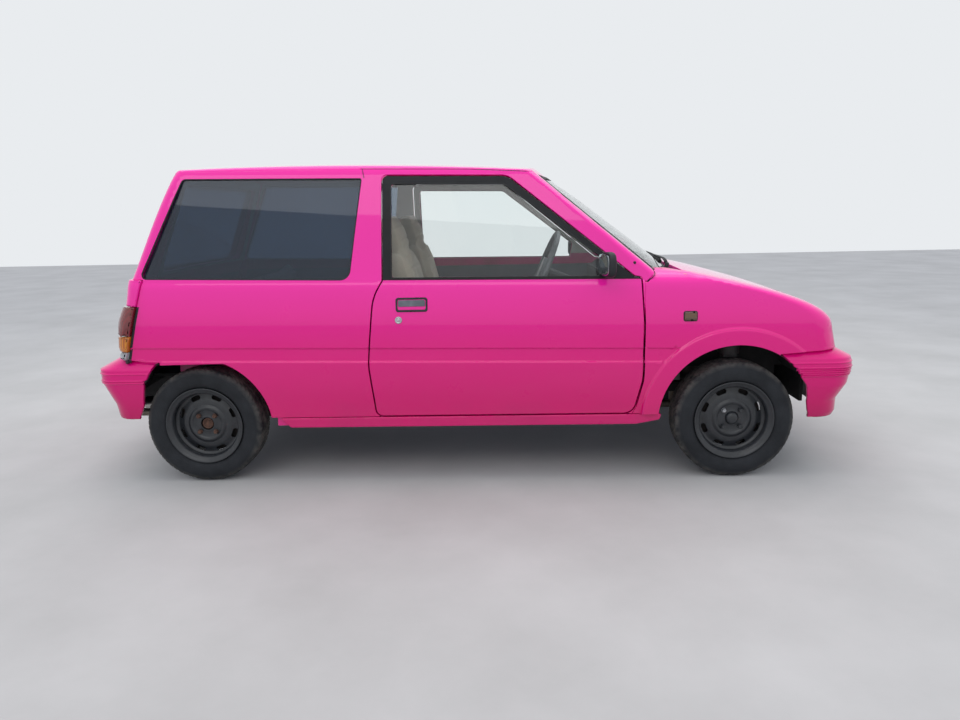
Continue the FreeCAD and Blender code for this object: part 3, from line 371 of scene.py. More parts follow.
def inside(points, line):
    """Which points lie inside a closed line, by the even-odd rule."""
    start, end = line, np.roll(line, -1, 0)
    x, y = points[:, :1], points[:, 1:]
    crossing = (start[:, 1] > y) != (end[:, 1] > y)
    rise = end[:, 1] - start[:, 1]
    at = start[:, 0] + (y - start[:, 1]) * (end[:, 0] - start[:, 0]) / np.where(rise == 0, 1, rise)
    return np.sum(crossing & (x < at), 1) % 2 == 1


def net(outer, holes, grid, reach):
    """Triangles between an outline and its holes, through the grid points that keep clear of both."""
    lines = [outer] + list(holes)
    rim = np.concatenate(lines)
    kept = inside(grid, outer)
    for hole in holes:
        kept &= ~inside(grid, hole)
    grid = grid[kept]
    nearest = np.min([np.min(np.sum((grid[:, None] - part) ** 2, 2), 1) for part in np.array_split(rim, 8)], 0)
    grid = grid[nearest > reach ** 2]
    starts = np.cumsum([0] + [len(line) for line in lines])
    edges = np.concatenate([np.stack([np.arange(a, b), np.roll(np.arange(a, b), -1)], 1)
                            for a, b in zip(starts, starts[1:])])
    made = delaunay_2d_cdt(np.concatenate([rim, grid]).tolist(), edges.tolist(), [], 0, 0.01)
    flat = np.array([tuple(place) for place in made[0]])
    faces = np.array(made[2])
    middles = flat[faces].mean(1)
    good = inside(middles, outer)
    for hole in holes:
        good &= ~inside(middles, hole)
    return flat, faces[good]


def panel(name, outer, holes, grid, surface, finish, proud=2.2, roll_in=2.4, flange=13, mirrored=False, reach=5):
    """A pressed panel: a net carried on to the surface, edge rolled in and turned down as a flange."""
    flat, faces = net(outer, holes, grid, reach)
    used, faces = np.unique(faces, return_inverse=True)
    flat, faces = flat[used], faces.reshape(-1, 3)
    area = np.cross(flat[faces[:, 1]] - flat[faces[:, 0]], flat[faces[:, 2]] - flat[faces[:, 0]])
    faces[area < 0] = faces[area < 0][:, ::-1]

    def lifted(places):
        step = 0.8
        across_way = surface(places + (step, 0)) - surface(places - (step, 0))
        up_way = surface(places + (0, step)) - surface(places - (0, step))
        normal = np.cross(across_way, up_way)
        normal /= np.linalg.norm(normal, axis=1)[:, None]
        return surface(places), normal

    sides = np.concatenate([faces[:, [0, 1]], faces[:, [1, 2]], faces[:, [2, 0]]])
    keys = np.sort(sides, 1) @ (len(flat), 1)
    _, first, counts = np.unique(keys, return_index=True, return_counts=True)
    border = sides[first[counts == 1]]
    run = flat[border[:, 1]] - flat[border[:, 0]]
    out_flat = np.zeros_like(flat)
    outward = np.stack([run[:, 1], -run[:, 0]], -1) / np.linalg.norm(run, axis=1)[:, None]
    np.add.at(out_flat, border[:, 0], outward)
    np.add.at(out_flat, border[:, 1], outward)
    rim = np.unique(border)
    out_flat[rim] /= np.maximum(np.linalg.norm(out_flat[rim], axis=1), 0.3)[:, None]
    points, normals = lifted(flat)
    edge_points, edge_normals = points[rim], normals[rim]
    out = surface(flat[rim] + out_flat[rim]) - edge_points
    out -= np.sum(out * edge_normals, 1)[:, None] * edge_normals
    out /= np.maximum(np.linalg.norm(out, axis=1), 1e-6)[:, None]
    points = points + normals * proud
    points[rim] -= out * roll_in
    base = points[rim]
    all_points, all_normals, face_sets = [points], [normals], [faces]
    number = np.zeros(len(flat), int)
    number[rim] = np.arange(len(rim))
    previous = rim
    count = len(points)
    for angle, extra in ((30, 0), (60, 0), (90, 0), (90, flange)):
        swing = math.radians(angle)
        ring = base + out * roll_in * math.sin(swing) - edge_normals * (roll_in * (1 - math.cos(swing)) + extra)
        all_points.append(ring)
        all_normals.append(edge_normals * math.cos(swing) + out * math.sin(swing))
        fresh = count + np.arange(len(rim))
        a, b = number[border[:, 0]], number[border[:, 1]]
        face_sets.append(np.stack([previous[a], fresh[a], fresh[b], previous[b]], 1))
        previous = fresh
        count += len(rim)
    points, normals = np.concatenate(all_points), np.concatenate(all_normals)
    if mirrored:
        points, normals = points * (1, -1, 1), normals * (1, -1, 1)
        face_sets = [faces[:, ::-1] for faces in face_sets]
    return shape(name, points, face_sets, finish, normals)


def fit(thing, body, slot=None, node=None):
    """Let a piece ride a body and hide the solid it stands for; slot is not used."""
    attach(thing, body)
    if node:
        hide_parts(node)


def height_above(tree):
    """Height above the ground in metres, for the patterns that follow it."""
    place = add(tree, "TexCoord").outputs["Object"]
    return add(tree, "SeparateXYZ", joins={"Vector": place}).outputs["Z"]


def paint_pattern(tree, sky_reflection_top="F41A9C", deep="D60668", dusty="9C2058"):
    """Painted highlight above the waist for the sky's reflection and painted shade low down for the ground's, a shade
    dusty low down, with faint orange peel.
    """
    height = height_above(tree)
    dust = add(tree, "Math", joins={0: ranged(tree, height, (0.24, 0.5), (1, 0)), 1: speckle(tree, 3, 5)},
               operation="MULTIPLY").outputs[0]
    # Painted reflection by height: deep pink low down for the ground, the paint's own E60A7E in the middle, bright
    # pink at the top for the sky.
    painted_reflection_ramp = ramp(tree, ranged(tree, height, (0.3, 0.86)), (0, deep), (0.55, "E60A7E"), (1, sky_reflection_top))
    colour = add(tree, "Mix", {7: paint_value(dusty)}, {0: ranged(tree, dust, (0.3, 0.75), (0, 0.4)), 6: painted_reflection_ramp},
                 data_type="RGBA")
    return {"Base Color": colour.outputs[2], "Roughness": ranged(tree, speckle(tree, 7, 6), (0.3, 0.7), (0.26, 0.36)),
            "Normal": raised(tree, speckle(tree, 260, 2), 0.00003)}


pink_paint = new_finish("clear_coated_pink_enamel", {
    "IOR": 1.5, "Specular IOR Level": 0.1, "Coat Weight": 1, "Coat Roughness": 0.03, "Coat IOR": 1.5}, paint_pattern)
# The bumpers' paint carries the same painted sky and ground reflection by height.
moulded_pink = new_finish("pink_painted_plastic", {
    "IOR": 1.5, "Specular IOR Level": 0.1, "Coat Weight": 0.8, "Coat Roughness": 0.08, "Coat IOR": 1.45},
    lambda tree: paint_pattern(tree, "EE1290", "C8085E", "8C1C50"))
black_satin = clouded("satin_black_frame_paint", {"IOR": 1.5, "Specular IOR Level": 0.3}, (9, 6),
                      ((0.35, "0D0E11"), (0.7, "17191D")), ((40, 4), (0, 1), (0.35, 0.55)))

GAP = 5.7
CREASES = (518, 521, 524, 526.5, 529, 532, 578, 581, 583.5, 586, 589, 592)


def mesh_points(along_range, height_range, pace=14, rise=13, extra=()):
    """Grid points in rows at even heights and at the sharp creases."""
    heights = np.arange(*height_range, rise)
    if len(extra):
        off_extra = np.min(np.abs(heights[:, None] - np.array(extra)), 1) > 2
        heights = np.unique(np.concatenate([heights[off_extra], extra]))
    return np.stack(np.meshgrid(np.arange(*along_range, pace), heights), -1).reshape(-1, 2)


def on_side(line):
    """Side-view places on the body side and cabin as flat coordinates."""
    return seen_side(line, side_rows)


side_surface = on_rows(side_rows)


def side_panel(label, side, line, holes, grid, finish, surface=side_surface, **form):
    """A panel on one side of the body, named after its side, which is one of SIDES."""
    return panel(label + "_" + side[0], line, holes, grid, surface, finish, mirrored=side[1], **form)


door_line = outline((-396, 293, 30), (-420, 520, 400), (-390, 800, 200), (-350, 866, 6), (-346, 1294, 18),
                    (172, 1283, 70), (690, 866, 10), (717, 862, 8), (727, 690, 200), (727, 440, 200), (691, 293, 50))
door_window = outline((-316, 876, 10), (-315, 1264, 13), (160, 1254, 46), (558, 950, 6), (548, 869, 10))
quarter_window = outline((-1376, 890, 20), (-1190, 1298, 22), (-434, 1286, 8), (-491, 872, 44))
over_belt = outline((-1200, 878.5), (1200, 851.5), (1200, 1600), (-1200, 1600))
under_belt = outline((-1200, 880), (1200, 853), (1200, 100), (-1200, 100))
FRONT_AXLE, REAR_AXLE, ARCH_HEIGHT, REAR_ARCH = 1122.5, -1157.5, 253, 304
arch_turn = np.linspace(-0.6, 1.17, 60)
rear_arch = run_through(np.stack([REAR_AXLE + REAR_ARCH * np.cos(arch_turn),
                                  ARCH_HEIGHT + REAR_ARCH * np.sin(arch_turn)], -1),
                        [(-1060, 532), (-1340, 529), (-1352, 516), (-1400, 416), (-1400, 120), (-906, 81)])
rear_bumper_line = outline((-1310, 541), (-1500, 556), (-1760, 560), (-1760, 150), (-1310, 150))
lamp_line = outline((-1360, 888), (-1443, 552), (-1700, 552), (-1700, 888))
fuel_line = box_line((-1065, 635), (-935, 765), 16)
side_edge = run_through(
    on_side([(689, 289), (707, 320), (733.5, 440), (733.5, 849), (743, 849)]),
    seen_end([(606, 896), (506, 1292)], side_rows, 1),
    on_side([(330, 1296), (20, 1314), (-430, 1324)]),
    seen_end([(492, 1328.5), (542, 900), (526.5, 872), (526.5, 559)], side_rows, -1),
    on_side([(-1500, 480), (-1300, 289)]))
side_grid = mesh_points((-1900, 1250), (240, 1345), extra=CREASES)
grown_door = wider(door_line, GAP)
for side in SIDES:
    side_holes = [on_side(line) for line in (grown_door, quarter_window, rear_arch, rear_bumper_line, lamp_line)]
    if side[0] == "left":
        side_holes.append(on_side(wider(fuel_line, GAP)))
        lid = panel("fuel_lid_skin", on_side(fuel_line), [], side_grid, side_surface, pink_paint, mirrored=True)
        fit(lid, "fuel_lid", "paint")
    door = side_panel("door_skin", side, on_side(door_line), [on_side(over_belt)], side_grid, pink_paint)
    sash = side_panel("door_sash", side, on_side(door_line), [on_side(under_belt), on_side(door_window)],
                      side_grid, black_satin, roll_in=1.6, flange=9)
    fit(door, "door_" + side[0], "paint")
    fit(sash, "door_" + side[0], "black_plastic")
    fit(side_panel("quarter_skin", side, side_edge, side_holes, side_grid, pink_paint), "car_body", "paint")

# Front wings
# Pressed steel with a raised flare round the wheel opening, bolted on beside the bonnet.
# The flare stands out to the full body width and fades into the panel over a soft edge.
FLARE_EDGE, FLARE_EASE, FLARE_LOW, FRONT_ARCH = 404, 16, 640, 328
BAND_END, BAND_FOOT, BAND_SLANT = 836, 535, 0.8


def past_band(along, height):
    """Distance past the slanted end of the band between the creases."""
    return along - BAND_END - (height - BAND_FOOT) * BAND_SLANT


def wing_surface(flat):
    """The lower body with the flare: width eased out to a ring round the wheel."""
    x, y = wrapped(flat[:, 0], body_rows(flat[:, 1]))
    distance = np.hypot(x - FRONT_AXLE, flat[:, 1] - x * math.sin(FALL) - ARCH_HEIGHT)
    ease = np.clip((FLARE_EDGE - distance) / FLARE_EASE, 0, 1)
    ease = ease * ease * (3 - 2 * ease)
    fade = np.clip((1470 - x) / 60, 0, 1)
    flush = (np.interp(flat[:, 1], [BAND_LOW, BAND_HIGH], [-3.5, -6.5])
             - np.interp(flat[:, 1], [BAND_LOW, 529, 581, BAND_HIGH], [-3.5, -10, -11.5, -6.5]))
    y = y + flush * np.clip(past_band(x, flat[:, 1]) / 5, 0, 1)
    y = y + np.maximum(WIDE + 0.5 - y, 0) * ease * fade * (y > FLARE_LOW)
    return tilted(x, y, flat[:, 1])


wing_edge = run_through(
    seen_side([(689, 289), (707, 320), (733.5, 440), (733.5, 843), (747, 845), (772, 885)], body_rows),
    [(776, 903)], along_at(581, np.linspace(900, 729, 60), body_rows),
    along_at(606, [729, 588], body_rows), seen_side([(1560, 565), (1560, 289)], body_rows))
angles = np.linspace(0, 2 * math.pi, 220, endpoint=False)
front_arch = np.stack([FRONT_AXLE + FRONT_ARCH * np.cos(angles), ARCH_HEIGHT + FRONT_ARCH * np.sin(angles)], -1)
front_bumper_line = outline((1290, 541), (1508, 556), (1760, 560), (1760, 150), (1290, 150))
wing_grid = np.concatenate([mesh_points((680, 1000), (240, 905), 14, 13, CREASES),
                            mesh_points((1000, 2900), (240, 905), 13, 9, CREASES)])
flare_radii = [336, 346, 356, 366, 376, 382, 386, 389, 392, 395, 398, 401, 404, 408, 414]
flare_grid = seen_side(np.stack([FRONT_AXLE + np.outer(flare_radii, np.cos(angles)).ravel(),
                                 ARCH_HEIGHT + np.outer(flare_radii, np.sin(angles)).ravel()], -1), body_rows)
slant_heights = np.repeat(np.arange(524, 588, 3.5), 4)
slant_steps = np.tile([-2, 0, 5, 8], len(slant_heights) // 4)
slant_grid = np.stack([BAND_END + (slant_heights - BAND_FOOT) * BAND_SLANT + slant_steps, slant_heights], -1)
near_slant = np.abs(past_band(*wing_grid.T) - 3) < 8
near_slant &= (wing_grid[:, 1] > 522) & (wing_grid[:, 1] < 588)
wing_grid = np.concatenate([wing_grid[~near_slant], slant_grid])
off_centre = np.hypot(wing_grid[:, 0] - FRONT_AXLE, wing_grid[:, 1] - wing_grid[:, 0] * math.sin(FALL) - ARCH_HEIGHT)
wing_grid = np.concatenate([wing_grid[off_centre > 420], flare_grid[flare_grid[:, 0] < 1480]])
wing_holes = [seen_side(front_arch, body_rows), seen_side(front_bumper_line, body_rows)]
for side in SIDES:
    wing = side_panel("wing_skin", side, wing_edge, wing_holes, wing_grid, pink_paint, wing_surface)
    fit(wing, "car_body", "paint")

# Bonnet
# One pressing hinged at its rear corners. Its top falls forward on the same nose lines as
# the wings, then turns down to the lamps.


def bonnet_surface(flat):
    """Plan place x, y carried up to the row whose bowed nose passes through it."""
    heights = np.linspace(586, 905, 600)
    values = body_rows(heights)
    x, y = flat[:, 0], flat[:, 1]
    row = np.full(len(flat), 850.0)
    for repeat in range(8):
        bow = np.interp(row, heights, values[:, 5])
        row = np.interp(x + y ** 2 / (2 * bow), values[::-1, 1], heights[::-1])
    return np.stack([x, y, row - x * math.sin(FALL)], -1)


front_row = body_rows(734.2)
front_across = np.linspace(-574, 574, 90)
bonnet_edge = run_through(
    [(1300, -574)], np.stack([front_row[1] - front_across ** 2 / (2 * front_row[5]), front_across], -1),
    [(1300, 574)],
    [(925, 574), (914, 571), (908, 565), (905, 554), (905, -554), (908, -565), (914, -571), (925, -574)])
bonnet_rows = np.concatenate([np.arange(912, 1400, 14), np.arange(1400, 1570, 5)])
bonnet_grid = np.stack(np.meshgrid(bonnet_rows, np.arange(-567, 568, 14)), -1).reshape(-1, 2)
fit(panel("bonnet_skin", bonnet_edge, [], bonnet_grid, bonnet_surface, pink_paint), "bonnet", "paint")

# Roof
# One pressing crowned both ways, rolled down at its sides to the seam over the doors.
# Rings run up from the seam over the rolled edge, then draw in to a line down the middle.
seam_x, seam_z = np.array([-1500, -430, 20, 330]), np.array([1328.5, 1324, 1314, 1296])
EDGE_ROLL, ROOF_LIFT, HEM_LIFT = 2.2, 2.6, 0.8
GATE_PIVOT, HEM_REACH = (-1240, 1344), 19.2


def faces_of(rows, columns, loop_rows=False, loop_columns=False):
    """Corner numbers of the four-sided faces of a grid, closed on itself where asked."""
    index = np.arange(rows * columns).reshape(rows, columns)
    if loop_rows:
        index = np.vstack([index, index[:1]])
    if loop_columns:
        index = np.hstack([index, index[:, :1]])
    return np.stack([index[:-1, :-1], index[:-1, 1:], index[1:, 1:], index[1:, :-1]], -1).reshape(-1, 4)


def closed_row(height, count=96):
    """A whole plan ring at given heights: right side, nose, left side and tail in one loop."""
    values = follow(CABIN_ROWS, height)
    half, foot, heel, corner, back_corner, *rest = (part[:, None] for part in ends(values))
    corner_end, back_corner_end = foot + corner * math.pi / 2, heel - back_corner * math.pi / 2
    front_end = corner_end + half - corner
    back_end = back_corner_end - (half - back_corner)
    place = np.interp(np.linspace(0, 1, count), [0, 0.2, 0.26, 0.74, 0.8, 1], [0, 1, 2, 3, 4, 5])
    stops = np.concatenate([back_end, back_corner_end, heel, foot, corner_end, front_end], 1)
    step = np.clip(place.astype(int), 0, 4)
    along = stops[:, step] + (stops[:, step + 1] - stops[:, step]) * (place - step)
    x, y = wrapped(along, values[:, None, :])
    return (np.concatenate([x, x[:, -2:0:-1]], 1), np.concatenate([-y, y[:, -2:0:-1]], 1))


def crown(x, y):
    """Height of the roof's crowned top."""
    return 1368 - (x + 780) ** 2 / 33600 - y ** 2 / 10400


base_x = closed_row(np.array([1320.0]))[0][0]
seam_height = np.where(base_x > 300, 1294, np.interp(base_x, seam_x, seam_z)) + base_x * math.sin(FALL)
roof_points = []
for level_share in np.concatenate([[-9, -1.2], np.linspace(0, 1, 14)]):
    height = seam_height + (level_share if level_share < 0 else (1356 - seam_height) * level_share)
    rows_x, rows_y = closed_row(height)
    pick = np.arange(len(height))
    x, y = rows_x[pick, pick], rows_y[pick, pick]
    tuck = 0.0012 if level_share < -2 else 0
    z = height - x * math.sin(FALL)
    z = -EDGE_ROLL * np.log(np.exp(-(z - 1300) / EDGE_ROLL) + np.exp(-(crown(x, y) - 1300) / EDGE_ROLL)) + 1300
    roof_points.append(np.stack([x, y * (1 - tuck), z], -1))
rim_x, rim_y, rim_z = roof_points[-1].T
for draw in np.linspace(0, 1, 24)[1:]:
    x = rim_x + (np.clip(rim_x, -1130, 230) - rim_x) * draw
    y = rim_y * (1 - draw)
    roof_points.append(np.stack([x, y, crown(x, y) + (rim_z - crown(rim_x, rim_y)) * (1 - draw) ** 6], -1))
roof_points = np.stack(roof_points)


def grid_normals(points, closed_across=False):
    """Normals of a grid of points from the differences along its rows and columns."""
    wrapped_points = np.concatenate([points[:, -2:], points, points[:, :2]], 1) if closed_across else points
    normal = np.cross(np.gradient(wrapped_points, axis=1), np.gradient(wrapped_points, axis=0))
    if closed_across:
        normal = normal[:, 2:-2]
    return normal / np.maximum(np.linalg.norm(normal, axis=2), 1e-9)[..., None]


roof_normals = grid_normals(roof_points, True)
roof_normals[-1] = (0, 0, 1)
roof_normals[roof_normals[..., 2] < -0.2] *= -1
roof_points[1:] += roof_normals[1:] * ROOF_LIFT
roof_points[0] += roof_normals[0] * HEM_LIFT
# Behind the tailgate's hinge the hem stays inside the circle on which the tailgate's edge swings
past_pivot = roof_points[..., 0] - GATE_PIVOT[0]
rear_reach = np.minimum(past_pivot, 0)
lower_reach = np.minimum(roof_points[..., 2] - GATE_PIVOT[1], 0)
swing_room = HEM_REACH + 0.15 * np.maximum(past_pivot, 0)
swing_trim = np.minimum(1, swing_room / np.maximum(np.hypot(rear_reach, lower_reach), 1e-9)) - 1
roof_points[..., 0] += rear_reach * swing_trim
roof_points[..., 2] += lower_reach * swing_trim
roof_faces = faces_of(*roof_points.shape[:2], loop_columns=True)
fit(shape("roof_skin", roof_points, [roof_faces], pink_paint), "car_body", "paint")

# Tailgate
# A pressed door hinged at the roof, with a big bonded window. It covers the tail from
# the bumper to the roof between the lamps.


def gate_surface(flat):
    """Distance from the middle and row height on the bowed tail."""
    return tilted(side_rows(flat[:, 1])[:, 2] + flat[:, 0] ** 2 / (2 * TAIL_BOW), flat[:, 0], flat[:, 1])


def on_gate(line):
    """End-view places on the tailgate as flat coordinates."""
    line = np.array(line, float)
    tail_x = np.interp(line[:, 1], [560, 860, 1330], [-1510, -1440, -1240])
    return np.stack([-line[:, 0], line[:, 1] + tail_x * math.sin(FALL)], -1)


gate_line = outline((-520, 566, 20), (520, 566, 20), (520, 872, 30), (542, 900, 30), (486, 1322, 24),
                    (-486, 1322, 24), (-542, 900, 30), (-520, 872, 30))
gate_window = outline((-500, 905, 40), (500, 905, 40), (452, 1280, 40), (-452, 1280, 40))
gate_grid = mesh_points((-560, 560), (530, 1320), extra=CREASES[-6:])
gate = panel("tailgate_skin", on_gate(gate_line), [on_gate(gate_window)], gate_grid, gate_surface, pink_paint)
fit(gate, "tailgate", "paint")

# Bumpers
# Moulded plastic painted with the body, wrapped round to the wheel openings. A ridge and
# five fine ribs run round the front one, a ridge and two ribs round the rear one.
END = 1647.5


def bumper_rows(table, corner, bow, ribs):
    """Half width and reach between rows of height, width lost and reach lost, with ribs as small waves of both."""
    table = np.array(table)

    def values(height):
        wave = sum(depth * np.exp(-((height - rib) / width) ** 2) for rib, width, depth in ribs)
        half = np.interp(height, table[:, 0], WIDE - table[:, 1])
        reach = np.interp(height, table[:, 0], END - table[:, 2])
        return np.stack([half + wave, reach + wave, np.full_like(half, corner), np.full_like(half, bow)], -1)
    return values


def bumper_ends(row):
    """Half width, reach, corner, bow, start of the corner and length round to the middle."""
    half, reach, corner, bow = row.T
    foot = reach - (half - corner) ** 2 / (2 * bow) - corner
    return half, reach, corner, bow, foot, foot + corner * math.pi / 2 + half - corner


def bumper_flat(line, values, way):
    """Side-view places as the distance round the bumper from its middle, and height."""
    x, z = np.asarray(line, float).T
    half, reach, corner, bow, foot, middle = bumper_ends(values(z))
    turn = np.arcsin(np.clip((way * x - foot) / corner, 0, 1)) * corner
    past = np.maximum(way * x - foot - corner, 0) * 8
    along = np.minimum(way * x, foot) + turn + past
    return np.stack([-way * np.maximum(middle - along, 0), z], -1)


def bumper_surface(values, way):
    """The bumper's form: straight sides, round corners and a bowed face, both sides in one."""
    def surface(flat):
        half, reach, corner, bow, foot, middle = bumper_ends(values(flat[:, 1]))
        along = middle - np.abs(flat[:, 0])
        turn = np.clip((along - foot) / corner, 0, math.pi / 2)
        past = np.maximum(along - foot - corner * math.pi / 2, 0)
        y = half - corner * (1 - np.cos(turn)) - past
        x = np.where(past > 0, reach - y ** 2 / (2 * bow), np.minimum(along, foot) + corner * np.sin(turn))
        return np.stack([way * x, np.sign(flat[:, 0]) * way * y, flat[:, 1]], -1)
    return surface


rib_rows = np.concatenate([np.arange(440, 506, 1.8), (517, 520, 514)])
# Rows, ribs of height, width and depth, the wheel opening's edge upwards, and the top edge
for bumper_name, table, corner, bow, ribs, way, arch, cut in (
        ("front", ((240, 29, 60), (262, 28, 58), (284, 21, 50), (338, 13, 52), (405, 3, 14), (487, 0, 0), (517, 3, 6),
                   (556, 34, 80), (570, 45, 106)), 100, 6000,
         ((500, 2.6, 3), (480, 2.1, 4), (471.5, 2.1, 4), (463, 2.1, 4), (454.5, 2.1, 4), (446, 2.1, 4)), 1,
         ((1428, 263), (1424, 290), (1416, 342), (1397, 420), (1377, 453), (1351, 485), (1322, 517), (1296, 540)),
         ((1290, 541), (1508, 556), (1588, 557), (1640, 557))),
        ("rear", ((270, 25, 60), (288, 24, 58), (296, 20, 55), (350, 12, 49), (453, 0, 3), (509, 2, 0), (552, 34, 84),
                  (570, 47, 119)), 84, 4000, ((492, 2.6, 3), (462, 2.1, 3.2), (452, 2.1, 3.2)), -1,
         ((-1430, 289), (-1421, 312), (-1396, 398), (-1375, 467), (-1352, 508), (-1330, 538)),
         ((-1310, 541), (-1500, 551), (-1580, 551.5), (-1640, 551.5)))):
    values = bumper_rows(table, corner, bow, ribs)
    arch_line = np.array(arch, float)
    keep_line = arch_line[arch_line[:, 1] < np.interp(way * arch_line[:, 0], [1290, 1508], [540, 555])]
    side_run = bumper_flat(np.concatenate([keep_line, np.array(cut)]), values, way)
    edge = run_through(side_run, side_run[::-1] * (-1, 1), pace=7)
    bumper_points = mesh_points((-1400, 1400), (arch[0][1], 556), 14, 11, rib_rows)
    fit(panel(bumper_name + "_bumper_skin", edge, [], bumper_points, bumper_surface(values, way), moulded_pink,
              roll_in=3, flange=10, reach=3), "car_body", "bumper_paint")

# Wheels
# Pressed steel wheels painted black under worn radial tyres, dusty on the tread. Each
# tyre is its section carried round the axle with grooves cut in; each disc is a pressing
# with eight slots, four nuts and a hub.


def around(section, count, cut=None):
    """A section of distances out and radii carried round the wheel's own axle."""
    turn = np.linspace(0, 2 * math.pi, count, endpoint=False)[:, None]
    out, radius = section[:, 0][None], section[:, 1][None]
    if cut is not None:
        radius = radius - cut(turn, out, radius)
    return np.stack([radius * np.cos(turn), out + 0 * turn, radius * np.sin(turn)], -1)


def turned_piece(name, profile, centre, axis, finish, count=40):
    """A turned piece: radii and heights carried round an axis from a centre."""
    axis = direction(*axis)
    first = direction(*np.cross(axis, (0.31, 0.17, 0.93)))
    second = np.cross(axis, first)
    turn = np.linspace(0, 2 * math.pi, count, endpoint=False)
    ring = np.cos(turn)[:, None] * first + np.sin(turn)[:, None] * second
    profile = np.array(profile, float)
    points = np.array(centre) + profile[:, :1, None] * ring + profile[:, 1:, None] * axis
    return shape(name, points, [faces_of(len(profile), count, loop_columns=True)], finish)


def tread_cut(turn, out, radius):
    """Two broad grooves round the tyre and slanting cuts across its ribs, in millimetres."""
    off = np.abs(out)
    groove = np.exp(-((off - 19) / 3.2) ** 6) * 5 + np.exp(-(out / 2.4) ** 6) * 3.5
    phase = (turn * 64 / (2 * math.pi) + off / 26 + 0.5 * (out > 0)) % 1
    cut = (np.abs(phase - 0.5) < 0.14) * np.clip((off - 22) / 3, 0, 1) * np.clip((59 - off) / 3, 0, 1) * 4.2
    sipe = (np.abs((phase * 2) % 1 - 0.5) < 0.09) * (off < 15) * (off > 4) * 2.5
    return groove + cut + sipe


def rubber_pattern(tree):
    """Black rubber gone grey, with pale road dust in the tread and fine moulding rings on the wall."""
    reach = add(tree, "Attribute", attribute_name="reach").outputs["Fac"]
    dust, cloud = ranged(tree, reach, (0.228, 0.252)), ranged(tree, speckle(tree, 24, 6), (0.35, 0.65))
    share = add(tree, "Math", joins={0: dust, 1: cloud}, operation="MULTIPLY")
    base = ramp(tree, speckle(tree, 11, 5), (0.35, "191B1E"), (0.7, "27292C"))
    colour = add(tree, "Mix", {7: paint_value("5E5B54")}, {0: share.outputs[0], 6: base}, data_type="RGBA")
    rings = add(tree, "Math", {1: 900}, {0: reach}, operation="MULTIPLY")
    wave = add(tree, "Math", joins={0: rings.outputs[0]}, operation="SINE")
    height = add(tree, "Math", {2: 0}, {0: wave.outputs[0], 1: speckle(tree, 160, 3)}, operation="MULTIPLY_ADD")
    return {"Base Color": colour.outputs[2], "Normal": raised(tree, height.outputs[0], 0.0003)}


worn_rubber = new_finish("dusty_tyre_rubber", {"Roughness": 0.78, "IOR": 1.52, "Specular IOR Level": 0.35},
                         rubber_pattern)
wheel_enamel = clouded("chipped_black_wheel_enamel", {"IOR": 1.5, "Coat Weight": 0.35, "Coat Roughness": 0.2},
                       (38, 8, 0.7), ((0.3, "15171A"), (0.62, "222529"),
                                       (0.74, "4A3A30")), ((60, 5), (0, 1), (0.28, 0.6)),
                       ((320, 3), 0.00012))
rusty_hub = clouded("rusted_cast_iron", {"Roughness": 0.8}, (90, 8, 0.7),
                    ((0.3, "2A201B"), (0.55, "5A3D2E"), (0.75, "7A5440")), bump=((400, 4), 0.0004))
bright_nut = new_finish("zinc_plated_steel", {"Metallic": 1, "Base Color": paint_value("A9ABAE")}, lambda tree: {
    "Roughness": ranged(tree, speckle(tree, 150, 4), to=(0.25, 0.5))})
drum_iron = clouded("brake_dusted_iron", {"Roughness": 0.75}, (60, 7), ((0.35, "1A1817"), (0.7, "38302B")),
                    bump=((300, 3), 0.0003))

half_section = np.array([(52, 166), (60, 170), (66, 178), (70, 189), (72, 200), (72.5, 210), (71.5, 221), (69, 231),
                         (65.5, 239), (61, 245), (57, 248.6)])
tread_out = np.linspace(53, -53, 38)
tread_run = np.stack([tread_out, 252 - 2 * (tread_out / 53) ** 2], -1)
tyre_section = np.concatenate([half_section, tread_run, half_section[::-1] * (-1, 1)])
barrel_section = np.array([
    (40, 140), (56, 144), (60, 150), (62.5, 158), (66, 161), (68, 165), (67.5, 168), (64, 168.6), (60, 166),
    (58, 158), (54, 152), (30, 150), (-30, 150), (-52, 152), (-58, 158), (-60, 166), (-64, 168), (-67, 166),
    (-65, 160), (-58, 150), (-40, 145), (20, 143), (30, 141)])
disc_radii = np.array([20, 27, 28.5, 30, 36, 50, 60, 66, 72, 78, 84, 92, 104, 118, 130, 136, 141, 145])
disc_out = np.array([28, 30, 30.5, 30, 28, 27.5, 29, 33, 34, 31, 27, 27, 25, 20, 17, 18.5, 24, 32])
turns = np.linspace(0, 2 * math.pi, 160, endpoint=False)
circle = np.stack([np.cos(turns), np.sin(turns)], -1)
slot_base = box_line((-21, -9.5), (21, 9.5), 9, pace=4)
slots = []
for index in range(8):
    swing = math.radians(45 * index + 22.5) + slot_base[:, 0] / 118
    slots.append((122 + slot_base[:, 1])[:, None] * np.stack([np.cos(swing), np.sin(swing)], -1))
disc_grid = np.concatenate([circle[::2] * r for r in (*range(34, 142, 6), 29, 63, 69, 75, 81, 143)])
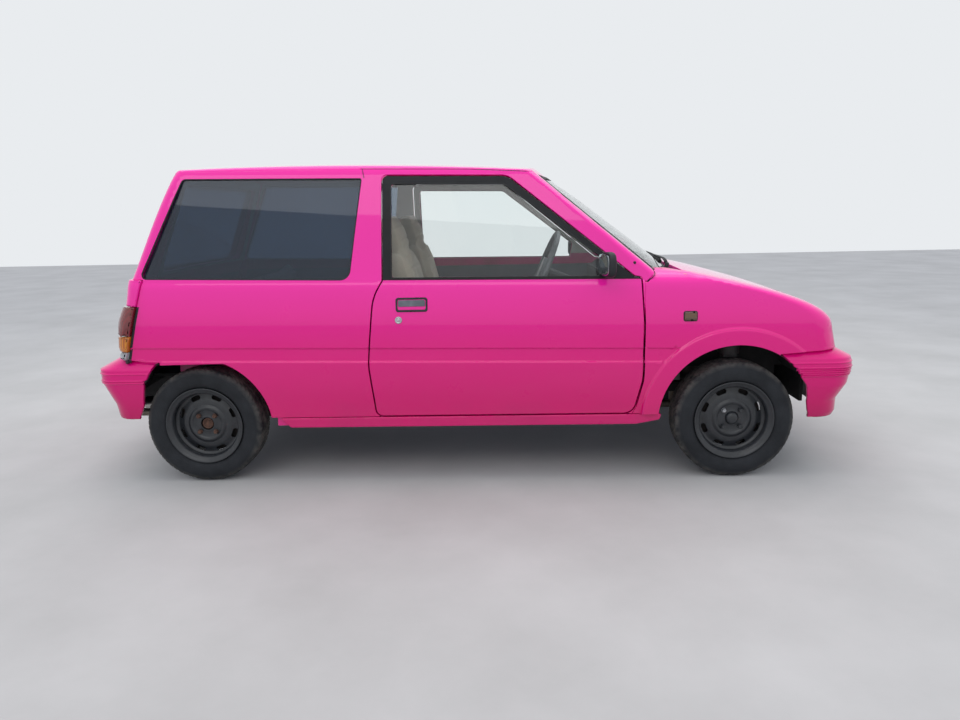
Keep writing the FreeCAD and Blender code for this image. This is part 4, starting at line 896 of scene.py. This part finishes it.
# A six-sided nut 13 mm high, with a washer face and a chamfered head: radii and heights
NUT = 9.5
nut_rings = ((NUT * 1.15, 0), (NUT * 1.15, 2), (NUT, 2), (NUT, 11), (NUT * 0.86, 13), (NUT * 0.45, 13), (0.1, 11.5))
hex_turns = np.radians(np.arange(0, 360, 60))
nut = np.array([[(r * math.cos(a), out, r * math.sin(a)) for a in hex_turns] for r, out in nut_rings])
drum_profile = [(134, -30), (134, -16), (128, -12), (100, -10), (97, 10), (90, 16), (28, 17)]
front_dome = [(28.2, 27), (27.5, 33), (25, 39), (20, 43), (12, 45.5), (0.2, 46)]
rear_dome = [(27.6, 8), (24, 20), (23, 26), (18, 26.5), (17, 21), (12, 20), (0.2, 20)]
for end, axle_x, track, dome, cap_finish in (("front", FRONT_AXLE, 1215, front_dome, wheel_enamel),
                                             ("rear", REAR_AXLE, 1205, rear_dome, rusty_hub)):
    for side_name, mirrored, way in SIDES:
        corner_name = "%s_%s" % (end, side_name)
        middle = np.array([axle_x, way * track / 2, 252.0])
        flip = (1, way, 1)

        def carried(label, points, finish):
            """A piece of the wheel from its rings, turned to its side of the car."""
            faces = faces_of(*points.shape[:2], loop_rows=True)[:, ::way]
            return shape("%s_%s" % (label, corner_name), points * flip + middle, [faces], finish)

        def disc_surface(flat):
            """The pressed disc: distance out follows the distance from the axle."""
            out = np.interp(np.hypot(flat[:, 0], flat[:, 1]), disc_radii, disc_out)
            return np.stack([flat[:, 0], -out, flat[:, 1]], -1) + (axle_x, -track / 2, 252)

        tyre_points = around(tyre_section, 64 * 9, tread_cut)
        tyre = carried("tyre_tread", tyre_points, worn_rubber)
        tyre_reach = np.hypot(tyre_points[..., 0], tyre_points[..., 2]) / 1000
        reach = tyre.data.attributes.new("reach", "FLOAT", "POINT")
        reach.data.foreach_set("value", tyre_reach.astype(np.float32).ravel())
        rim = carried("rim_barrel", around(barrel_section, 128), wheel_enamel)
        disc = panel("rim_disc_" + corner_name, circle * 144.5, slots + [circle[::4] * 28], disc_grid, disc_surface,
                     wheel_enamel, proud=0, roll_in=1.5, flange=5, mirrored=mirrored, reach=2.5)
        made = [(tyre, "tyre_" + corner_name), (rim, "rim_" + corner_name), (disc, None)]
        for index in range(4):
            swing = math.radians(90 * index + 45)
            place = middle + (50 * math.cos(swing), way * 27.5, 50 * math.sin(swing))
            finish = bright_nut if (end, index) == ("front", 1) else cap_finish
            made.append((shape("wheel_nut_%s_%d" % (corner_name, index), nut * flip + place,
                               [faces_of(7, 6, loop_columns=True)[:, ::-way]], finish, smooth=False), None))
        made.append((carried("hub_cap", around(np.array(dome)[:, ::-1], 48), cap_finish), None))
        made.append((turned_piece("brake_drum_" + corner_name, drum_profile, middle, (0, way, 0), drum_iron), None))
        for thing, node in made:
            fit(thing, "wheel_" + corner_name, node=node)

# Finishes of the solids that stay
# Painted steel pressings seen from the cabin side: bare dark steel in the wheel spaces,
# grey-blue vinyl trim to the waist, a strip of body paint, and pale lining above it.


def trimmed(name, across_way):
    """Body paint outside and trim inside, told apart by which way the wall faces."""
    def pattern(tree):
        place = add(tree, "TexCoord").outputs
        facing = add(tree, "VectorMath", {1: across_way}, {0: place["Normal"]}, operation="MULTIPLY")
        inward = add(tree, "VectorMath", joins={0: facing.outputs[0], 1: place["Object"]}, operation="DOT_PRODUCT")
        share = ranged(tree, inward.outputs["Value"], (-0.2, -0.26))
        trim = ramp(tree, ranged(tree, height_above(tree), (0.2, 1.4)), (0.2975, "17181B"), (0.3, "56616C"),
                    (0.524, "616C77"), (0.527, "C21A70"), (0.574, "C8207A"), (0.577, "B4B4B0"))
        wear = ranged(tree, speckle(tree, 12, 6), (0.4, 0.8), (0, 0.35))
        grained = add(tree, "Mix", {7: paint_value("2B3036")}, {0: wear, 6: trim},
                      data_type="RGBA", blend_type="MULTIPLY")
        colour = add(tree, "Mix", {6: paint_value("D81578")}, {0: share, 7: grained.outputs[2]}, data_type="RGBA")
        return {"Base Color": colour.outputs[2], "Roughness": ranged(tree, share, to=(0.3, 0.62)),
                "Normal": raised(tree, speckle(tree, 700, 3), 0.00008)}
    return new_finish(name, {"IOR": 1.5, "Coat Weight": 0.3, "Coat Roughness": 0.1}, pattern)


def mottled(name, scale, dark, light, rough, values=(), depth=0.0002, fine=300):
    """A finish of two close shades in clouds, with its own grain."""
    return clouded(name, values, (scale, 7), ((0.32, dark), (0.68, light)),
                   ((scale * 3, 5), (0, 1), rough), ((fine, 3), depth))


black_moulding = mottled("grained_black_polypropylene", 14, "16171A", "24262A", (0.42, 0.62), {"IOR": 1.48},
                         0.00025, 900)
clear_glass = clouded("clear_safety_glass", {"IOR": 1.45, "Transmission Weight": 1}, (2, 2),
                      ((0.2, "F4F9F8"), (0.8, "F8FBFA")), ((5, 6), (0.6, 1), (0, 0.03)))
tinted_glass = clouded("dark_film_on_safety_glass", {"IOR": 1.45, "Transmission Weight": 0.9}, (3, 4),
                       ((0.2, "5C6E82"), (0.8, "66788C")), ((4, 6), (0.5, 1), (0, 0.03)))
for finish, nodes in (
        (trimmed("body_side_paint_and_trim", (0, 1, 0)),
         ("body_side_right", "body_side_left", "door_right", "door_left", "front_wings")),
        (trimmed("roof_paint_and_lining", (0, 0, 1)), ("roof_panel", "bonnet")),
        (trimmed("tailgate_paint_and_lining", (1, 0, 0)), ("tailgate",)),
        (pink_paint, ("fuel_lid",)),
        (mottled("dusty_underbody_coat", 6, "141416", "2A2826", (0.6, 0.9), depth=0.0008, fine=120),
         ("floor_pan", "bulkhead", "front_structure")),
        (mottled("dusty_chassis_enamel", 12, "17181A", "35312D", (0.45, 0.8), {"IOR": 1.5}, 0.0004, 260),
         ("front_suspension", "rear_axle", "fuel_tank", "knuckle_right", "knuckle_left")),
        (mottled("heat_stained_exhaust_steel", 22, "4A4038", "8B8378", (0.35, 0.65), {"Metallic": 0.85}, 0.0003),
         ("exhaust",)),
        (mottled("oily_cast_alloy", 18, "3A3835", "6E6A64", (0.4, 0.75), {"Metallic": 0.6}, 0.0005, 260),
         ("engine_block",)),
        (mottled("grained_grey_dashboard_vinyl", 10, "2C3036", "3A3F46", (0.5, 0.68), {"IOR": 1.48}, 0.0003, 800),
         ("dashboard", "steering_column")),
        (black_moulding, ("grille", "front_bumper", "rear_bumper")),
        (mottled("worn_grey_wheel_rim_plastic", 30, "6E7276", "84888C", (0.35, 0.55), {"IOR": 1.48}, 0.00015, 600),
         ("steering_wheel",)),
        (clear_glass, ("door_glass_right", "door_glass_left")),
        (tinted_glass, ("quarter_glass", "tailgate_glass"))):
    for node in nodes:
        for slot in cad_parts[node].material_slots:
            slot.material = finish

# Windscreen and window seals
# Black extruded rubber round the quarter windows, the doors' windows, the windscreen and the
# tailgate window, pressed over the edge of the opening. The windscreen is a bowed sheet 5 mm thick.
# This black rubber also makes the dark tubes on the seams, which are painted shade in the gaps.
black_rubber_and_seam_shade = mottled("black_extruded_rubber_and_seam_shade", 16, "0E0F11", "1A1B1E", (0.5, 0.7), {"IOR": 1.5}, 0.0001, 500)
for side in SIDES:
    for label, line, inner, proud, roll_in, body in (("quarter_seal", quarter_window, -3.5, 2.4, 1.2, "car_body"),
                                                     ("door_seal", door_window, -4, 2.6, 1, "door_" + side[0])):
        fit(side_panel(label, side, on_side(wider(line, 1)), [on_side(wider(line, inner))], side_grid, black_rubber_and_seam_shade,
                       proud=proud, roll_in=roll_in, flange=5), body, "black_plastic")


def screen_surface(flat):
    """Distance from the middle and row height on the bowed windscreen."""
    values = follow(CABIN_ROWS, flat[:, 1])
    share = np.clip(np.abs(flat[:, 0]) / np.interp(flat[:, 1], [866, 1292], [612, 506]), 0, 1)
    bulge = np.interp(flat[:, 1], [850, 1000, 1200, 1310], [40, 40, 25, 0]) * (1 - share ** 5)
    return tilted(values[:, 1] - flat[:, 0] ** 2 / (2 * values[:, 5]) + bulge, -flat[:, 0], flat[:, 1])


def on_screen(line):
    """End-view places on the windscreen as flat coordinates."""
    nose_x = np.interp(line[:, 1], [840, 1285, 1315], [938, 371, 333])
    return np.stack([line[:, 0], line[:, 1] + nose_x * math.sin(FALL)], -1)


screen_line = outline((-610, 878, 20), (610, 878, 20), (502, 1284, 55), (-502, 1284, 55))
for name, line, gaps, flatten, area, surface, proud, body in (
        ("tailgate_seal", gate_window, (3, -9), on_gate, ((-560, 560), (530, 1320)), gate_surface, 3, "tailgate"),
        ("windscreen_seal", screen_line, (-1, -12), on_screen, ((-640, 640), (840, 1330)), screen_surface, 2.2,
         "car_body")):
    outer, inner = (flatten(wider(line, gap)) for gap in gaps)
    fit(panel(name, outer, [inner], mesh_points(*area), surface, black_rubber_and_seam_shade, proud=proud, roll_in=1.2, flange=5),
        body, "black_plastic")
SHEET, ROWS, COLUMNS = 5, 40, 60
glass_heights = np.linspace(888, 1278, ROWS)
glass_widths = np.interp(glass_heights, [866, 1292], [605, 500])
glass_flat = np.stack([np.outer(glass_widths, np.linspace(-1, 1, COLUMNS)),
                       np.repeat(glass_heights[:, None], COLUMNS, 1)], -1)
outer_sheet = screen_surface(glass_flat.reshape(-1, 2)).reshape(ROWS, COLUMNS, 3)
inner_sheet = outer_sheet - grid_normals(outer_sheet) * SHEET
middle_sheet = (outer_sheet + inner_sheet) / 2
hoop = np.concatenate([outer_sheet, inner_sheet[:, ::-1]], 1)
first_cap, last_cap = (np.concatenate([middle_sheet[k], middle_sheet[k][::-1]])[None] for k in (0, -1))
fit(shape("windscreen_glass", np.concatenate([first_cap, hoop, last_cap]),
          [faces_of(ROWS + 2, 2 * COLUMNS, loop_columns=True)], clear_glass), "car_body", "glass", "windscreen")

# Tail lamps
# Moulded acrylic in one column down each rear corner: a cap in body paint, a red stop
# lamp, an amber turn lamp, a clear reversing lamp and a black base.


def fluted(name, dark, light, rough=0.08):
    """Coloured acrylic with fine upright flutes on its back face, dulled by dust."""
    def pattern(tree):
        place = add(tree, "TexCoord").outputs["Object"]
        wave = add(tree, "TexWave", {"Scale": 60, "Distortion": 0.2}, {"Vector": place},
                   bands_direction="Y").outputs["Fac"]
        return {"Base Color": ramp(tree, wave, (0.2, dark), (0.8, light)), "Normal": raised(tree, wave, 0.0004),
                "Roughness": ranged(tree, speckle(tree, 30, 5), to=(rough, rough + 0.14))}
    return new_finish(name, {"IOR": 1.49, "Transmission Weight": 0.15, "Coat Weight": 1, "Coat Roughness": 0.04},
                      pattern)


LAMP_STACK = (("cap", 778, 886, pink_paint, "paint"),
              ("red", 657, 776, fluted("red_acrylic_lens", "6E0C14", "801018"), "lamp_red"),
              ("amber", 588, 655, fluted("amber_acrylic_lens", "B85A06", "E08A12"), "lamp_red"),
              ("clear", 554, 586, fluted("clear_acrylic_lens", "9A9C9C", "C9CCCC"), "lamp_clear"))
lamp_grid = mesh_points((-1900, -1250), (540, 900), 8, 8)
strip_grid = mesh_points((-1500, -1300), (540, 900), 8, 8)
strip_line = on_side(outline((-1446, 545), (-1434, 545), (-1376, 778), (-1388, 778)))
base_line = run_through(on_side([(-1446, 538), (-1443, 552)]), seen_end([(528, 552), (528, 538)], side_rows, -1),
                        pace=6)
for side in SIDES:
    for label, low, high, finish, finish_slot in LAMP_STACK:
        edge_x = np.interp([low, high], [552, 888], [-1443, -1360]) - 1.5
        front_run = on_side([(edge_x[0], low), (edge_x[1], high)])
        inner_run = seen_end([(530, high), (530, low)], side_rows, -1)
        proud, roll_in = (14, 6) if label == "cap" else (24, 9)
        lens = side_panel("tail_lamp_" + label, side, run_through(front_run, inner_run, pace=6), [], lamp_grid,
                          finish, proud=proud, roll_in=roll_in, flange=18)
        fit(lens, "car_body", finish_slot, "tail_lamps" if (label, side[0]) == ("red", "right") else None)
    strip = side_panel("tail_lamp_edge", side, strip_line, [], strip_grid, black_moulding,
                       proud=2.4, roll_in=1.4, flange=6)
    base = side_panel("tail_lamp_base", side, base_line, [], mesh_points((-1900, -1250), (530, 560), 8, 6),
                      black_moulding, proud=5, roll_in=2, flange=10)
    for thing in (strip, base):
        fit(thing, "car_body", "black_plastic")

# Door handles and locks
# A black moulded frame let into each door, with a grey satin flap to lift and, below it, a darker
# pink sheet just under the skin as the hollow's painted shade, and a chromed lock barrel under its rear end.
flap_satin = mottled("satin_grey_zinc_flap", 20, "5B5F66", "74787F", (0.3, 0.45), {"Metallic": 0.7}, 0.00005, 500)
hollow_painted_shade = mottled("shadowed_pink_pocket", 20, "6A1040", "8A1652", (0.5, 0.7), (), 0.0001)
lock_chrome = mottled("worn_chrome", 30, "A8ABAF", "C4C7CA", (0.12, 0.3), {"Metallic": 1}, 0.00004, 400)
LOCK = [(15, 0), (15, 3.4), (13.6, 4.6), (9.5, 4.6), (8.4, 2.6), (7.6, 4), (1.6, 4.2), (0.1, 3)]
handle_grid = mesh_points((-320, -140), (720, 820), 6, 6)
frame_line = on_side(box_line((-298, 739), (-165, 798), 11, pace=5))
frame_hole = on_side(box_line((-290, 748), (-173, 790), 7, pace=5))
hollow_line = on_side(box_line((-292, 746), (-171, 792), 7, pace=5))
flap_line = on_side(outline((-288, 761, 5), (-175, 761, 5), (-175, 788, 6), (-288, 788, 6), pace=5))
for side in SIDES:
    side_name, mirrored, way = side
    spot = side_surface(on_side([(-287.5, 706)]))[0] * (1, -way, 1)
    for thing, finish_slot in (
            (side_panel("handle_frame", side, frame_line, [frame_hole], handle_grid, black_moulding,
                        proud=5, roll_in=2.6, flange=7), "black_plastic"),
            # The hollow is a flat darker pink sheet: painted shade, not a recess.
            (side_panel("handle_hollow_painted_shade", side, hollow_line, [], handle_grid, hollow_painted_shade,
                        proud=1.9, roll_in=0.6, flange=1), "paint"),
            (side_panel("handle_flap", side, flap_line, [], handle_grid, flap_satin,
                        proud=4.2, roll_in=2, flange=3), "black_plastic"),
            (turned_piece("door_lock_" + side_name, LOCK, spot, (0, way, 0.08), lock_chrome), "rim_steel")):
        fit(thing, "door_" + side_name, finish_slot)

# Side turn lamps and the pillar plugs
# Faded amber lenses in dark rims on the wings, and a black rubber plug at the foot of
# each screen pillar.
brown_lens = fluted("faded_amber_acrylic_lens", "4A2E12", "64401C", 0.15)
turn_lamp_grid = mesh_points((860, 980), (660, 750), 6, 6)
rim_line = seen_side(box_line((888, 682), (947, 725), 9, pace=4), body_rows)
lens_line = seen_side(box_line((892, 686), (943, 721), 7, pace=4), body_rows)


def cabin_rows(height):
    """The cabin's rows at any height."""
    return follow(CABIN_ROWS, height)


for side in SIDES:
    side_name, mirrored, way = side
    spot = on_rows(cabin_rows)(seen_side([(692, 923)], cabin_rows))[0] * (1, -way, 1)
    for thing, finish_slot in (
            (side_panel("side_lamp_rim", side, rim_line, [], turn_lamp_grid, black_moulding, wing_surface,
                        proud=3.6, roll_in=2.4, flange=5), "black_plastic"),
            (side_panel("side_lamp_lens", side, lens_line, [], turn_lamp_grid, brown_lens, wing_surface,
                        proud=9, roll_in=5, flange=5), "lamp_red"),
            (turned_piece("pillar_plug_" + side_name, [(6.5, -1), (6.5, 2), (5, 3.2), (0.1, 3.6)], spot,
                          (0.1, way, 0.3), black_rubber_and_seam_shade, 24), "black_plastic")):
        fit(thing, "car_body", finish_slot)

# Door mirrors
# Rounded black cases on stubs from the sash corners, with the glass facing rearwards.
# Each case is a grid of a rounded box, drawn in at the glass.
mirror_glass = clouded("silvered_mirror_glass", {"Metallic": 1}, (20, 3), ((0.3, "B9C0C6"), (0.7, "C6CCD1")),
                       ((40, 4), (0, 1), (0.02, 0.06)))
MIRROR_Y, MIRROR_TURN = 731, 0.22


def rounded_box(half, centre, power, rows=24, columns=40):
    """A closed grid of a box with soft corners; power 2 is an ellipsoid, more is squarer."""
    polar = np.linspace(0.02, math.pi - 0.02, rows)[:, None]
    turn = np.linspace(0, 2 * math.pi, columns, endpoint=False)[None]
    parts = np.stack([np.cos(polar) + 0 * turn, np.sin(polar) * np.cos(turn), np.sin(polar) * np.sin(turn)], -1)
    parts /= np.sum(np.abs(parts) ** power, -1)[..., None] ** (1 / power)
    return parts * half + centre


for side_name, mirrored, way in SIDES:
    case = rounded_box((21, 66, 50), (0, 0, 0), 3.4)
    case[..., 0] = np.where(case[..., 0] < -14, -14 - (case[..., 0] + 14) * 0.9, case[..., 0])
    case[..., 2] *= 1 - 0.12 * (case[..., 1] / 66 * -way)
    case = case + (567, way * MIRROR_Y, 924)
    glass = rounded_box((2, 58, 42), (552, way * MIRROR_Y, 924), 4)
    for points in (case, glass):
        points[..., 0] += (points[..., 1] * way - MIRROR_Y) * MIRROR_TURN
    stub = rounded_box((17, 34, 17), (572, way * 664, 900), 3)
    for label, points, finish, finish_slot in (("case", case, black_moulding, "black_plastic"),
                                               ("glass", glass, mirror_glass, "rim_steel"),
                                               ("stub", stub, black_moulding, "black_plastic")):
        made = shape("mirror_%s_%s" % (label, side_name), points, [faces_of(24, 40, loop_columns=True)], finish)
        fit(made, "door_" + side_name, finish_slot, "mirror_" + side_name if label == "case" else None)

# Wipers
# Black painted arms and rubber blades parked along the foot of the windscreen, on turned
# pivots. Tubes of round section follow short runs of points.


def tube(name, run, radii, finish, count=14, flat=1.0):
    """A round bar through points, each with its own radius; flat squashes it upright."""
    run = np.array(run, float)
    radii = np.broadcast_to(np.asarray(radii, float), len(run))
    run_way = np.gradient(run, axis=0)
    run_way /= np.linalg.norm(run_way, axis=1)[:, None]
    side_way = np.cross(run_way, (0, 0, 1))
    side_way /= np.maximum(np.linalg.norm(side_way, axis=1), 1e-6)[:, None]
    up_way = np.cross(side_way, run_way)
    turn = np.linspace(0, 2 * math.pi, count, endpoint=False)
    ring = np.cos(turn)[None, :, None] * side_way[:, None] + np.sin(turn)[None, :, None] * up_way[:, None] * flat
    points = run[:, None] + ring * radii[:, None, None]
    closed = np.concatenate([np.repeat(run[:1], count, 0)[None], points, np.repeat(run[-1:], count, 0)[None]])
    return shape(name, closed, [faces_of(len(run) + 2, count, loop_columns=True)], finish)


spread = np.linspace(0, 1, 12)
for label, pivot_y in (("near", -395), ("far", 110)):
    blade = screen_surface(np.stack([pivot_y + 120 + 390 * spread, 905 + 16 * spread], -1)) + (2, 0, 8)
    arm_run = [(880, pivot_y, 893), (875, pivot_y + 14, 912), (872, pivot_y + 40, 920), (869, pivot_y + 140, 924),
               blade[6] + (5, 0, 9)]
    for thing in (tube("wiper_blade_" + label, blade, 5, black_rubber_and_seam_shade, flat=1.6),
                  tube("wiper_spine_" + label, blade[1:-1] + (3, 0, 9), 3.5, black_satin),
                  tube("wiper_arm_" + label, arm_run, [9, 8, 7, 5.5, 4.5], black_satin, flat=0.6),
                  turned_piece("wiper_pivot_" + label, [(9, -14), (9, 4), (7.5, 8), (5, 11), (0.1, 12)],
                               (880, pivot_y, 893), (0.3, 0, 1), black_moulding, 28)):
        fit(thing, "car_body", "black_plastic")

# Sills and seams
# A ledge along the foot of each side, bright along its rolled top, and thin dark tubes on
# the seams at the pillar foot and along the edge of the roof, as painted shade in their gaps.
sill_line = on_side(outline((-818, 286, 4), (-774, 243, 12), (707, 243, 12), (806, 262, 10), (812, 287, 4)))
foot_seam = run_through(on_side([(741, 847), (748, 849)]), seen_end([(604, 893)], side_rows, 1), pace=6)
roof_seam_x = np.linspace(-440, 322, 60)
roof_seam = on_side(np.stack([roof_seam_x, np.interp(roof_seam_x, seam_x, seam_z) + 1.5], -1))
pillar_seam = on_side(np.stack([np.linspace(-424, -432, 8), np.linspace(1289, 1326, 8)], -1))
for side in SIDES:
    fit(side_panel("sill", side, sill_line, [], mesh_points((-900, 900), (236, 292), 16, 8), pink_paint,
                   proud=5, roll_in=4, flange=16), "car_body", "paint")
    # Dark tubes laid on the seams are painted shade for the gaps between the panels.
    for label, run in (("foot", side_surface(foot_seam)[:14]), ("roof", side_surface(roof_seam)),
                       ("pillar", side_surface(pillar_seam))):
        fit(tube("seam_%s_%s" % (label, side[0]), (run + (0, -2.4, 0)) * (1, -side[2], 1), 1.5, black_rubber_and_seam_shade, 8),
            "car_body", "black_plastic")

# Head lamps and grille
# Fluted glass over the two lamp boxes at the nose, and five black slats between them.


def nose_surface(flat):
    """Distance from the middle and row height on the bowed nose."""
    values = body_rows(flat[:, 1])
    return tilted(values[:, 1] - flat[:, 0] ** 2 / (2 * values[:, 5]), -flat[:, 0], flat[:, 1])


lamp_flutes = fluted("fluted_lamp_glass", "8E9498", "D4D8DA", 0.03)
lamp_rim = mottled("lamp_box_grey", 16, "3C3F43", "55585D", (0.35, 0.5), (), 0.0001, 400)
for side in SIDES:
    for label, line, proud, finish in (
            ("rim", outline((374, 588, 12), (601, 588, 14), (601, 722, 14), (374, 722, 12)), 0.8, lamp_rim),
            ("lens", outline((380, 594, 10), (596, 594, 12), (596, 716, 12), (380, 716, 10)), 3, lamp_flutes)):
        made = side_panel("head_lamp_" + label, side, seen_end(line, body_rows, 1), [],
                          mesh_points((1300, 2900), (560, 760), 9, 7), finish, on_rows(body_rows),
                          proud=proud, roll_in=4, flange=8)
        fit(made, "car_body", "lamp_clear", "headlamps" if (label, side[0]) == ("lens", "right") else None)
for index in range(5):
    low = 600 + 24 * index
    slat = panel("grille_slat_%d" % index, box_line((-358, low), (358, low + 9), 3), [],
                 mesh_points((-360, 360), (560, 760), 14, 3), nose_surface, black_moulding,
                 proud=7, roll_in=2, flange=12, reach=2)
    fit(slat, "car_body", "black_plastic")

# Plates and exhaust tip
# Blank dusty plates on two bolts each, and the bright end of the tail pipe behind the
# right rear wheel.
plate_enamel = mottled("dusty_white_plate_enamel", 14, "C9C7C0", "D9D8D2", (0.35, 0.55), (), 0.0001, 200)
for label, plate_x, plate_z, way, body in (("front", 1650, 420, 1, "car_body"), ("rear", -1516, 650, -1, "tailgate")):
    plate = panel("plate_" + label, box_line((-170, -75), (170, 75), 10), [],
                  mesh_points((-180, 180), (-80, 80), 10, 10),
                  lambda flat: np.stack([plate_x + 0 * flat[:, 0], way * flat[:, 0], plate_z + flat[:, 1]], -1),
                  plate_enamel, proud=0, roll_in=1.5, flange=3)
    fit(plate, body, "paint")
    for side_way in (-1, 1):
        bolt = turned_piece("plate_bolt_%s_%d" % (label, side_way), [(7, -8), (7, 3), (5.5, 5), (0.1, 5.5)],
                            (plate_x, side_way * 105, plate_z), (way, 0, 0), bright_nut, 24)
        fit(bolt, body, "rim_steel")
tip_steel = mottled("bright_tail_pipe", 24, "9A9894", "C4C3C0", (0.2, 0.45), {"Metallic": 1}, 0.0002, 260)
fit(turned_piece("exhaust_tip", [(22, -10), (26, -8), (28, 0), (28, 104), (26.5, 106), (25, 104), (25, 10), (0.1, 8)],
                 (-1378, -500, 318), (-1, 0, 0), tip_steel), "car_body", "exhaust_steel")

# Seats
# Padded seats under cream cloth. Each is a slightly smaller copy of its solid, swollen by a
# cloth simulation, then drawn in along its sewn channels.
seat_cloth = clouded("cream_seat_cloth", {"Roughness": 0.92, "Sheen Weight": 0.3}, (9, 6),
                     ((0.3, "C8BCA6"), (0.7, "E2D8C5")), bump=((900, 2), 0.0004))
VOXEL = SHRINK = 0.011
STITCH, RIB_PACE, PRESSURE, FRAMES, FURTHEST = 0.006, 0.085, 4, 20, 0.024


def settled(thing):
    """The mesh of an object with its modifiers applied, and its points and normals."""
    made = bpy.data.meshes.new_from_object(thing.evaluated_get(bpy.context.evaluated_depsgraph_get()))
    thing.modifiers.clear()
    values = []
    for field in ("co", "normal"):
        flat = np.empty(len(made.vertices) * 3)
        made.vertices.foreach_get(field, flat)
        values.append(flat.reshape(-1, 3))
    return made, *values


for name, node, side, middle in (("seat_right", "front_seats", -1, -0.335), ("seat_left", "front_seats", 1, 0.335),
                                 ("seat_rear", "rear_seat", 0, 0.0)):
    work = bmesh.new()
    work.from_mesh(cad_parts[node].data)
    bmesh.ops.remove_doubles(work, verts=work.verts, dist=0.00001)
    bmesh.ops.delete(work, geom=[v for v in work.verts if v.co.y * side < 0], context="VERTS")
    mesh = bpy.data.meshes.new(name)
    work.to_mesh(mesh)
    work.free()
    seat = link(name, mesh)
    remesh = seat.modifiers.new("Remesh", "REMESH")
    remesh.mode = "VOXEL"
    remesh.voxel_size = VOXEL
    mesh, points, normals = settled(seat)
    start = points - normals * SHRINK
    mesh.vertices.foreach_set("co", start.ravel())
    seat.data = mesh
    cloth = seat.modifiers.new("Cloth", "CLOTH")
    cloth.settings.quality = 4
    cloth.settings.use_pressure = True
    cloth.settings.uniform_pressure_force = PRESSURE
    cloth.settings.effector_weights.gravity = 0
    cloth.point_cache.frame_start, cloth.point_cache.frame_end = 1, FRAMES
    for step in range(1, FRAMES + 1):
        bpy.context.scene.frame_set(step)
    mesh, swollen, _ = settled(seat)
    bpy.context.scene.frame_set(1)
    moved = swollen - start
    length = np.linalg.norm(moved, axis=1)[:, None]
    points = start + moved * np.minimum(1, FURTHEST / np.maximum(length, 1e-9))
    points[:, 2] = np.maximum(points[:, 2], start[:, 2].min() - 0.01)
    mesh.vertices.foreach_set("co", points.ravel())
    seat.data = mesh
    subdivision = seat.modifiers.new("Subdivision", "SUBSURF")
    subdivision.levels = subdivision.render_levels = 1
    mesh, points, normals = settled(seat)
    off = np.abs(points[:, 1] - middle)
    facing = np.clip(np.maximum(normals[:, 0] - 0.35, normals[:, 2] - 0.45) * 5, 0, 1)
    line = 0.145 if side else 0.32
    channel = np.exp(-((off - line) / STITCH) ** 2)
    along = points[:, 0] - points[:, 2]
    ribs = np.exp(-((((along / RIB_PACE) % 1) - 0.5) * RIB_PACE / STITCH) ** 2) * (off < line)
    drawn_in = STITCH * np.maximum(channel, 0.7 * ribs) * facing
    mesh.vertices.foreach_set("co", (points - normals * drawn_in[:, None]).ravel())
    mesh.materials.clear()
    mesh.materials.append(seat_cloth)
    mesh.polygons.foreach_set("use_smooth", np.full(len(mesh.polygons), True))
    seat.data = mesh
    fit(seat, "car_body", "seat_cloth", None if name == "seat_left" else node)
